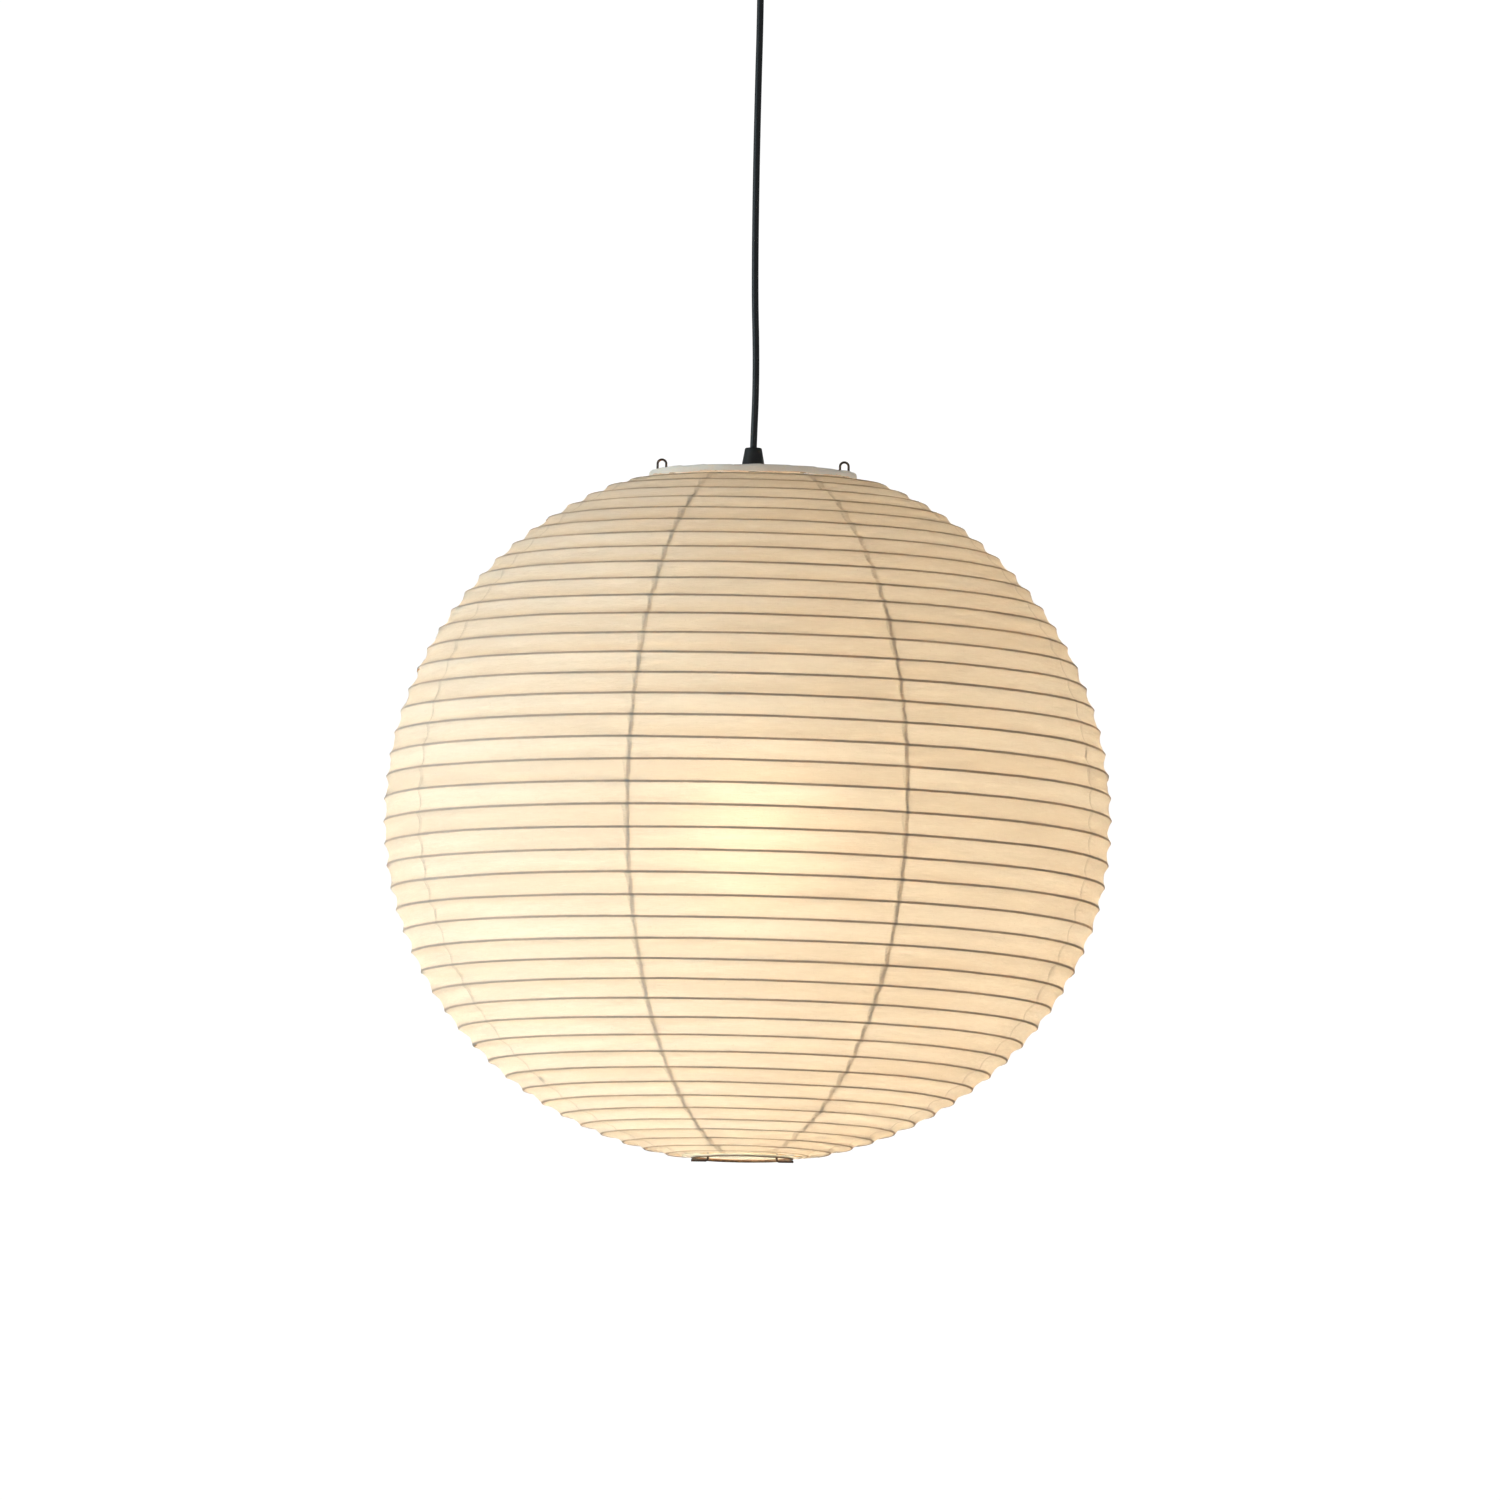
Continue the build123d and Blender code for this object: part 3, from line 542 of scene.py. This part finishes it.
def globe_point_tree():
    """Shared group: the point at a distance along the outline, at an azimuth, with an inset"""
    tree, bench, given, result = geometry_tree(
        "Globe Point",
        (("Outline", "NodeSocketGeometry"), ("Distance", "NodeSocketFloat"),
         ("Azimuth", "NodeSocketFloat"), ("Inset", "NodeSocketFloat"),
         ("Wander", "NodeSocketFloat")),
        (("Position", "NodeSocketVector"), ("Radius", "NodeSocketFloat")))
    cosine = bench.maths("COSINE", given["Azimuth"])
    sine = bench.maths("SINE", given["Azimuth"])
    stray = bench.noise(bench.vector(bench.times(cosine, 1.4), bench.times(sine, 1.4),
                                     bench.times(given["Distance"], 42.0)), 1.0, 1.0)
    stray = bench.times(bench.minus(stray, 0.5), given["Wander"])
    sample = bench.add("GeometryNodeSampleCurve", {
        "Curves": given["Outline"], "Length": bench.plus(given["Distance"], stray)},
        mode="LENGTH")
    spot = bench.split(sample.outputs["Position"])
    along = bench.split(sample.outputs["Tangent"])
    inwards = bench.times(along["Z"], -1.0)
    radius = bench.minus(spot["X"], bench.times(given["Inset"], inwards))
    height = bench.minus(spot["Z"], bench.times(given["Inset"], along["X"]))
    bench.feed(result["Position"],
               bench.vector(bench.times(radius, cosine), bench.times(radius, sine), height))
    bench.feed(result["Radius"], radius)
    return tree


def gore_tree(globe_point):
    """One paper gore: a sheet that runs over the ribs and dips between them"""
    tree, bench, given, result = geometry_tree("Paper Gore", (
        ("Geometry", "NodeSocketGeometry"), ("Start Azimuth", "NodeSocketFloat"),
        ("Span", "NodeSocketFloat"), ("Lap", "NodeSocketFloat"),
        ("Outline Length", "NodeSocketFloat"), ("Rib Pitch", "NodeSocketFloat"),
        ("Rib Start", "NodeSocketFloat"), ("Wander", "NodeSocketFloat"),
        ("Sag", "NodeSocketFloat"), ("Wrinkle", "NodeSocketFloat"),
        ("First Turn", "NodeSocketFloat"), ("Turns", "NodeSocketFloat"),
        ("Columns", "NodeSocketInt"), ("Rows", "NodeSocketInt"),
        ("Material", "NodeSocketMaterial")))
    outline = bench.add("GeometryNodeMeshToCurve", {"Mesh": given["Geometry"]}).outputs[0]
    sheet = bench.add("GeometryNodeMeshGrid", {
        "Size X": 1.0, "Size Y": 1.0, "Vertices X": bench.plus(given["Columns"], 1.0),
        "Vertices Y": bench.plus(given["Rows"], 1.0)}).outputs["Mesh"]
    flat = bench.split(bench.add("GeometryNodeInputPosition").outputs[0])
    across = bench.plus(flat["X"], 0.5)
    down = bench.minus(0.5, flat["Y"])
    azimuth = bench.maths("MULTIPLY_ADD", across, given["Span"], given["Start Azimuth"])
    turn = bench.maths("MULTIPLY_ADD", down, given["Turns"], given["First Turn"])
    wound = bench.plus(turn, bench.maths("DIVIDE", azimuth, 2 * math.pi))
    distance = bench.maths("MULTIPLY_ADD", wound, given["Rib Pitch"], given["Rib Start"])
    distance = bench.maths("MINIMUM", bench.maths("MAXIMUM", distance, 0.0),
                           given["Outline Length"])
    near_top = bench.remap(distance, 0.0, 0.006)
    near_end = bench.remap(bench.minus(given["Outline Length"], distance), 0.0, 0.005)
    ends = bench.times(near_top, near_end)

    # How deep the paper dips between two ribs, with soft unevenness and fine creases
    part = bench.maths("FRACT", turn)
    dip = bench.times(bench.times(part, 4.0), bench.minus(1.0, part))
    soft = bench.noise(bench.vector(bench.times(bench.maths("COSINE", azimuth), 2.2),
                                    bench.times(bench.maths("SINE", azimuth), 2.2),
                                    bench.times(distance, 60.0)), 1.0, 2.0)
    depth = bench.times(given["Sag"], bench.remap(soft, 0.3, 0.7, 0.72, 1.28))
    crease = bench.noise(bench.vector(bench.times(azimuth, 5.0), bench.times(distance, 90.0),
                                      3.0), 1.0, 4.0, 0.6, 0.6)
    crease = bench.times(bench.minus(crease, 0.5), given["Wrinkle"])
    inset = bench.times(bench.times(dip, bench.plus(depth, crease)), ends)
    # The far edge is lifted by this much, so it lies over the next gore
    lap_lift = 0.00025
    inset = bench.minus(inset, bench.times(across, lap_lift))

    plain = bench.add("GeometryNodeGroup", {
        "Outline": outline, "Distance": distance, "Azimuth": azimuth, "Inset": 0.0,
        "Wander": 0.0}, node_tree=globe_point)
    lap_angle = bench.maths("DIVIDE", given["Lap"], plain.outputs["Radius"])
    spot = bench.add("GeometryNodeGroup", {
        "Outline": outline, "Distance": distance, "Inset": inset,
        "Azimuth": bench.maths("MULTIPLY_ADD", across, lap_angle, azimuth),
        "Wander": bench.times(given["Wander"], ends)}, node_tree=globe_point)
    over_edge = bench.times(bench.minus(1.0, across),
                            bench.times(plain.outputs["Radius"], given["Span"]))

    for name, value in (("rib_turn", turn), ("from_seam", over_edge)):
        sheet = bench.add("GeometryNodeStoreNamedAttribute", {
            "Geometry": sheet, "Name": name, "Value": value},
            data_type="FLOAT", domain="POINT").outputs[0]
    shaped = bench.add("GeometryNodeSetPosition", {
        "Geometry": sheet, "Position": spot.outputs["Position"]}).outputs[0]
    merged = bench.add("GeometryNodeMergeByDistance", {
        "Geometry": shaped, "Distance": 0.00001}).outputs[0]
    end_tree(bench, given, result, merged)
    return tree


def rib_tree(globe_point):
    """One strip of the spiral rib, whose tail lies beside the next strip's head"""
    tree, bench, given, result = geometry_tree("Spiral Rib", (
        ("Geometry", "NodeSocketGeometry"), ("First Turn", "NodeSocketFloat"),
        ("Turns", "NodeSocketFloat"), ("Points", "NodeSocketInt"),
        ("Rib Pitch", "NodeSocketFloat"), ("Rib Start", "NodeSocketFloat"),
        ("Diameter", "NodeSocketFloat"), ("Inset", "NodeSocketFloat"),
        ("Wander", "NodeSocketFloat"), ("Tail Turns", "NodeSocketFloat"),
        ("Material", "NodeSocketMaterial")))
    outline = bench.add("GeometryNodeMeshToCurve", {"Mesh": given["Geometry"]}).outputs[0]
    row = bench.add("GeometryNodeMeshLine", {"Count": given["Points"]}).outputs[0]
    index = bench.add("GeometryNodeInputIndex").outputs[0]
    share = bench.maths("DIVIDE", index, bench.minus(given["Points"], 1.0))
    turn = bench.maths("MULTIPLY_ADD", share, given["Turns"], given["First Turn"])
    distance = bench.maths("MULTIPLY_ADD", turn, given["Rib Pitch"], given["Rib Start"])
    left = bench.times(bench.minus(1.0, share), given["Turns"])
    beside = bench.remap(left, bench.times(given["Tail Turns"], 1.6), given["Tail Turns"])
    distance = bench.maths("MULTIPLY_ADD", beside, given["Diameter"], distance)
    spot = bench.add("GeometryNodeGroup", {
        "Outline": outline, "Distance": distance, "Inset": given["Inset"],
        "Azimuth": bench.times(turn, 2 * math.pi), "Wander": given["Wander"]},
        node_tree=globe_point)
    laid = bench.add("GeometryNodeSetPosition", {
        "Geometry": row, "Position": spot.outputs["Position"]}).outputs[0]
    path = bench.add("GeometryNodeMeshToCurve", {"Mesh": laid}).outputs[0]
    section = bench.add("GeometryNodeCurvePrimitiveCircle", {
        "Resolution": 7, "Radius": bench.maths("DIVIDE", given["Diameter"], 2.0)}).outputs[0]
    tube = bench.add("GeometryNodeCurveToMesh", {
        "Curve": path, "Profile Curve": section, "Fill Caps": True}).outputs[0]
    end_tree(bench, given, result, tube)
    return tree


class LANTERN_OT_shade(bpy.types.Operator):
    """Makes the paper gores and the spiral bamboo rib behind them"""

    bl_idname = "lantern.shade"
    bl_label = "Paper shade and rib"

    def execute(self, context):
        paper, finish = context.scene.lantern_paper, context.scene.lantern_finish
        outline, length, area = outline_mesh(paper)
        globe_point = globe_point_tree()
        pitch = paper.rib_pitch
        bamboo = worked_surface(
            "Bamboo", finish.bamboo, (0.80, 0.56, 0.30), 40.0, (0.45, 0.7), 700.0, 0.0002,
            stretch=(1, 1, 3), through=0.5)
        strip_count = sum(1 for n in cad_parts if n.startswith("rib_strip_"))
        ring_clearance = 0.004
        half_turns = (length - ring_clearance - paper.rib_start) / (pitch / 2)
        total = math.floor(half_turns) / 2
        paper_gap, joint_turns, points_per_turn = 0.00045, 0.02, 110
        strips = rib_tree(globe_point)
        for strip in range(strip_count):
            first = strip * TURNS_PER_STRIP
            turns = min(TURNS_PER_STRIP, total - first)
            tail = joint_turns if strip + 1 < strip_count else 0.0
            name = f"bamboo_rib_{strip + 1:02d}"
            piece = grow(name, strips, outline, {
                "First Turn": first, "Turns": turns + tail,
                "Points": int(turns * points_per_turn) + 4, "Rib Pitch": pitch,
                "Rib Start": paper.rib_start, "Diameter": paper.rib_diameter,
                "Inset": paper_gap + paper.rib_diameter / 2, "Wander": paper.rib_wander,
                "Tail Turns": tail + 0.0001, "Material": bamboo})
            settle(piece, "lantern", [f"rib_strip_{strip + 1:02d}"])
            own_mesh(piece)

        washi = washi_material(finish, paper, equator_level(paper))
        sheets = gore_tree(globe_point)
        columns, rows_per_band = 26, 10
        for gore in range(GORE_COUNT):
            start = paper.front_seam + gore * GORE_SPAN
            low = math.floor(-paper.rib_start / pitch - (start + GORE_SPAN) / 2 / math.pi)
            high = math.ceil((length - paper.rib_start) / pitch - start / 2 / math.pi)
            piece = grow(f"paper_gore_{gore + 1}", sheets, outline, {
                "Start Azimuth": start, "Span": GORE_SPAN, "Lap": paper.lap,
                "Outline Length": length, "Rib Pitch": pitch, "Rib Start": paper.rib_start,
                "Wander": paper.rib_wander, "Sag": paper.sag, "Wrinkle": paper.wrinkle,
                "First Turn": float(low), "Turns": float(high - low),
                "Columns": columns, "Rows": (high - low) * rows_per_band, "Material": washi})
            settle(piece, "lantern", [f"gore_{gore + 1}"])
            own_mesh(piece)
        bpy.data.meshes.remove(outline)
        return {"FINISHED"}


class LANTERN_OT_hoop(bpy.types.Operator):
    """Makes the top hoop, a core wound with strips of paper"""

    bl_idname = "lantern.hoop"
    bl_label = "Top hoop"

    def execute(self, context):
        hoop = context.scene.lantern_hoop
        outer, width = HOOP_HIGH.x, 0.0035
        middle, level = outer - width / 2, (HOOP_LOW.z + HOOP_HIGH.z) / 2
        half_w, half_h = width / 2, (HOOP_HIGH.z - HOOP_LOW.z) / 2
        winds = round(2 * math.pi * outer / hoop.wrap_width)
        around, section, squareness = 420, 20, 0.55
        points, faces = [], []
        for i in range(around):
            angle = 2 * math.pi * i / around
            for j in range(section):
                turn = 2 * math.pi * j / section
                wind = (angle / 2 / math.pi * winds + turn / 2 / math.pi) % 1.0
                step = hoop.waviness * 0.5 * (wind - 0.5)
                spot = Vector((math.cos(angle) * 5.0, math.sin(angle) * 5.0, turn * 0.3))
                lumps = hoop.waviness * noise.noise(spot)
                c, s = math.cos(turn), math.sin(turn)
                x = math.copysign(abs(c) ** squareness, c) * half_w
                z = math.copysign(abs(s) ** squareness, s) * half_h
                grown = 1 + (step + lumps) / half_w * 0.5
                r = middle + x * grown
                drop = hoop.waviness * 0.7 * noise.noise(spot * 0.6 + Vector((7, 3, 1)))
                points.append((r * math.cos(angle), r * math.sin(angle),
                               level + z * (0.96 + step / half_h) + drop))
        for i in range(around):
            for j in range(section):
                a, b = i * section + j, i * section + (j + 1) % section
                c = (i + 1) % around * section + (j + 1) % section
                d = (i + 1) % around * section + j
                faces.append((a, d, c, b))
        piece = piece_from("top_hoop", points, faces)
        piece.data.shade_smooth()
        piece.data.materials.append(hoop_paper_material(HOOP_LOW.z))
        settle(piece, "lantern", ["hoop_wrap"])
        return {"FINISHED"}


class LANTERN_OT_frame_wires(bpy.types.Operator):
    """Finishes the wire frame, its bridge, the holder ring and the bottom ring"""

    bl_idname = "lantern.frame_wires"
    bl_label = "Wire frame"

    def execute(self, context):
        wire = worked_surface(
            "LacqueredWire", (0.050, 0.028, 0.018), (0.105, 0.052, 0.030), 220.0,
            (0.32, 0.52), 2600.0, 0.00005, coat=0.15)
        zinc = worked_surface(
            "ZincPlate", (0.56, 0.57, 0.58), (0.48, 0.49, 0.51), 150.0, (0.28, 0.46), 1800.0,
            0.00004, stretch=(1, 6, 1), metal=1.0)
        paint_nodes(wire, "frame_leg_left", "frame_leg_right")
        paint_nodes(rim_material(RING_LOW.z), "bottom_ring")
        paint_nodes(zinc, "frame_bridge", "holder_ring", "cap_nut", "cap_stem",
                    "ceiling_bracket", "ceiling_stem", "stem_nuts", "terminal_screws")
        paint_nodes(worked_surface(
            "HoopCore", (0.45, 0.33, 0.18), (0.30, 0.21, 0.11), 60.0, (0.5, 0.7), 800.0,
            0.0002), "hoop_core")
        return {"FINISHED"}


class LANTERN_OT_cord(bpy.types.Operator):
    """Makes the pendant cord and finishes the grips at its two ends"""

    bl_idname = "lantern.cord"
    bl_label = "Pendant cord"

    def execute(self, context):
        cord, finish = context.scene.lantern_cord, context.scene.lantern_finish
        sheath = worked_surface(
            "CordSheath", finish.cord, [c * 1.8 for c in finish.cord], 90.0, (0.42, 0.55),
            1500.0, 0.00004, stretch=(1, 1, 0.2))
        line = bpy.data.curves.new("pendant_cord_sheath", "CURVE")
        line.dimensions = "3D"
        line.bevel_depth = cord.diameter / 2
        line.bevel_resolution = 6
        line.use_fill_caps = True
        route = [(0.0, 0.0, -0.4202), (0.0003, 0.0, -0.4060), (0.0011, 0.0, -0.3780),
                 (0.0009, 0.0, -0.3450), (-0.0008, 0.0, -0.3000), (-0.0012, 0.0, -0.2200),
                 (-0.0006, 0.0, -0.1400), (0.0, 0.0, -0.1000), (0.0, 0.0, -0.0740)]
        spline = line.splines.new("NURBS")
        spline.points.add(len(route) - 1)
        for point, (x, y, z) in zip(spline.points, route):
            point.co = (x, y, z, 1.0)
        spline.order_u = 3
        spline.use_endpoint_u = True
        spline.resolution_u = 12
        piece = bpy.data.objects.new("pendant_cord_sheath", line)
        context.scene.collection.objects.link(piece)
        line.materials.append(sheath)
        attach(piece, "cord")
        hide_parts("pendant_cord")
        moulded = worked_surface(
            "MouldedBlack", (0.016, 0.016, 0.017), (0.024, 0.024, 0.025), 80.0, (0.42, 0.6),
            2400.0, 0.00006)
        paint_nodes(moulded, "cord_cap", "ceiling_grip", "canopy_cup", "holder_dome",
                    "holder_body", "clamp_ring")
        paint_nodes(sheath, "inner_cord", "cord_tail")
        return {"FINISHED"}


class LANTERN_OT_lamp(bpy.types.Operator):
    """Finishes the lamp holder and the lit bulb"""

    bl_idname = "lantern.lamp"
    bl_label = "Lamp holder and bulb"

    def execute(self, context):
        studio = context.scene.lantern_studio
        paint_nodes(lit_glass_material(studio), "bulb_globe")
        paint_nodes(worked_surface(
            "BulbHousing", (0.80, 0.80, 0.78), (0.74, 0.74, 0.71), 60.0, (0.3, 0.42), 1600.0,
            0.00004), "bulb_housing")
        paint_nodes(worked_surface(
            "BoardMask", (0.78, 0.78, 0.74), (0.66, 0.66, 0.62), 90.0, (0.35, 0.5), 1500.0,
            0.00003), "led_board")
        paint_nodes(worked_surface(
            "Nickel", (0.66, 0.64, 0.60), (0.56, 0.54, 0.50), 120.0, (0.22, 0.38), 1600.0,
            0.00004, metal=1.0), "bulb_cap")
        paint_nodes(worked_surface(
            "BlackGlass", (0.012, 0.010, 0.012), (0.03, 0.02, 0.03), 160.0, (0.08, 0.2),
            900.0, 0.00002), "bulb_insulator")
        paint_nodes(worked_surface(
            "Solder", (0.60, 0.60, 0.58), (0.48, 0.48, 0.47), 500.0, (0.25, 0.5), 1800.0,
            0.0001, metal=1.0), "bulb_tip")
        paint_nodes(worked_surface(
            "Brass", (0.66, 0.47, 0.20), (0.52, 0.35, 0.14), 160.0, (0.25, 0.42), 1500.0,
            0.00004, metal=1.0), "screw_shell", "centre_contact", "holder_terminals",
            "terminal_sleeves")
        paint_nodes(worked_surface(
            "Steatite", (0.76, 0.73, 0.67), (0.68, 0.64, 0.58), 140.0, (0.5, 0.75), 1300.0,
            0.00008), "holder_insert")
        return {"FINISHED"}


class LANTERN_OT_ceiling(bpy.types.Operator):
    """Finishes the small pieces inside the ceiling cup"""

    bl_idname = "lantern.ceiling"
    bl_label = "Ceiling fitting"

    def execute(self, context):
        paint_nodes(worked_surface(
            "CollarRubber", (0.020, 0.020, 0.020), (0.034, 0.034, 0.033), 120.0, (0.7, 0.9),
            1700.0, 0.0001), "canopy_collar")
        paint_nodes(worked_surface(
            "Nylon", (0.78, 0.76, 0.69), (0.71, 0.69, 0.62), 90.0, (0.4, 0.55), 1500.0,
            0.00006), "terminal_block", "cap_screw")
        paint_nodes(worked_surface(
            "BrownLead", (0.060, 0.024, 0.010), (0.085, 0.036, 0.016), 160.0, (0.35, 0.5),
            1600.0, 0.00003), "lead_brown")
        paint_nodes(worked_surface(
            "BlueLead", (0.012, 0.060, 0.26), (0.018, 0.080, 0.33), 160.0, (0.35, 0.5),
            1600.0, 0.00003), "lead_blue")
        return {"FINISHED"}


class LANTERN_OT_studio(bpy.types.Operator):
    """Sets up the pale floor, the white room, the soft lights and the camera"""

    bl_idname = "lantern.studio"
    bl_label = "Studio"

    def area_light(self, name, place, aim, size, power, colour):
        data = bpy.data.lights.new(name, "AREA")
        data.shape = "DISK"
        data.size = size
        data.energy = power
        data.color = colour
        lamp = bpy.data.objects.new(name, data)
        bpy.context.scene.collection.objects.link(lamp)
        lamp.location = place
        towards = Vector(aim) - Vector(place)
        lamp.rotation_euler = towards.to_track_quat("-Z", "Y").to_euler()
        lamp.visible_camera = False

    def execute(self, context):
        scene, studio = context.scene, context.scene.lantern_studio
        middle = (HOOP_LOW.z + RING_HIGH.z) / 2
        half = 18.0
        floor = piece_from("studio_floor", [
            (-half, -half, studio.floor_level), (half, -half, studio.floor_level),
            (half, half, studio.floor_level), (-half, half, studio.floor_level)],
            [(0, 1, 2, 3)])
        floor.data.materials.append(pale_floor_material())

        room = bpy.data.worlds.new("WhiteRoom")
        room.use_nodes = True
        room.node_tree.nodes.clear()
        bench = NodeBench(room.node_tree)
        output = bench.add("ShaderNodeOutputWorld")
        seen = bench.add("ShaderNodeLightPath").outputs["Is Camera Ray"]
        up = bench.split(bench.add("ShaderNodeTexCoord").outputs["Generated"])["Z"]
        walls = bench.remap(up, 0.0, 0.5, studio.room_light, 0.03)
        strength = bench.remap(seen, 0.0, 1.0, walls, 1.05, smooth=False)
        back = bench.add("ShaderNodeBackground", {
            "Color": blend_colours(bench, seen, (0.90, 0.97, 1.0), (1.0, 1.0, 1.0)),
            "Strength": strength})
        bench.feed(output.inputs["Surface"], back.outputs[0])
        scene.world = room

        self.area_light("side_light", (-2.8, -1.2, middle - 0.15), (0, 0, middle), 1.8,
                        studio.side_power, (0.72, 0.91, 1.0))
        self.area_light("front_fill", (1.9, -2.8, middle - 0.1), (0, 0, middle), 2.0,
                        studio.fill_power, (0.97, 0.98, 1.0))
        self.area_light("floor_bounce", (-0.3, -0.5, studio.floor_level + 0.4),
                        (0, 0, middle), 2.6, studio.floor_power, (0.95, 0.98, 1.0))

        scene.view_settings.view_transform = "Standard"
        data = bpy.data.cameras.new("lantern_camera")
        data.sensor_width = 36.0
        data.lens = 635.0
        data.clip_end = 100.0
        camera = bpy.data.objects.new("lantern_camera", data)
        scene.collection.objects.link(camera)
        rise, away = studio.camera_rise, studio.camera_distance
        aim = Vector((0.001, 0.0, -0.6482))
        towards = Vector((0.0, math.cos(rise), math.sin(rise)))
        camera.location = aim - towards * away
        turn = towards.to_track_quat("-Z", "Y")
        camera.rotation_mode = "QUATERNION"
        lean = Quaternion((0.0, 0.0, 1.0), studio.camera_roll)
        camera.rotation_quaternion = turn @ lean
        scene.camera = camera
        return {"FINISHED"}


STEPS = (LANTERN_OT_shade, LANTERN_OT_hoop, LANTERN_OT_frame_wires, LANTERN_OT_cord,
         LANTERN_OT_lamp, LANTERN_OT_ceiling, LANTERN_OT_studio)
SETTINGS = (("lantern_paper", PaperSettings), ("lantern_hoop", HoopSettings),
            ("lantern_cord", CordSettings), ("lantern_finish", FinishSettings),
            ("lantern_studio", StudioSettings))


class LANTERN_PT_panel(bpy.types.Panel):
    """Lists the lantern's steps and settings"""

    bl_idname = "LANTERN_PT_panel"
    bl_label = "Paper Lantern"
    bl_space_type = "VIEW_3D"
    bl_region_type = "UI"
    bl_category = "Lantern"

    def draw(self, context):
        for step in STEPS:
            self.layout.operator(step.bl_idname)
        for name, _ in SETTINGS:
            group = getattr(context.scene, name)
            box = self.layout.box()
            for prop in group.bl_rna.properties:
                if prop.identifier not in ("rna_type", "name"):
                    box.prop(group, prop.identifier)


def register():
    for name, group in SETTINGS:
        bpy.utils.register_class(group)
        setattr(bpy.types.Scene, name, bpy.props.PointerProperty(type=group))
    for step in STEPS:
        bpy.utils.register_class(step)
    bpy.utils.register_class(LANTERN_PT_panel)


def unregister():
    bpy.utils.unregister_class(LANTERN_PT_panel)
    for step in reversed(STEPS):
        bpy.utils.unregister_class(step)
    for name, group in reversed(SETTINGS):
        delattr(bpy.types.Scene, name)
        bpy.utils.unregister_class(group)


def main():
    register()
    bpy.ops.lantern.shade()
    bpy.ops.lantern.hoop()
    bpy.ops.lantern.frame_wires()
    bpy.ops.lantern.cord()
    bpy.ops.lantern.lamp()
    bpy.ops.lantern.ceiling()
    bpy.ops.lantern.studio()


if __name__ == "__main__":
    main()
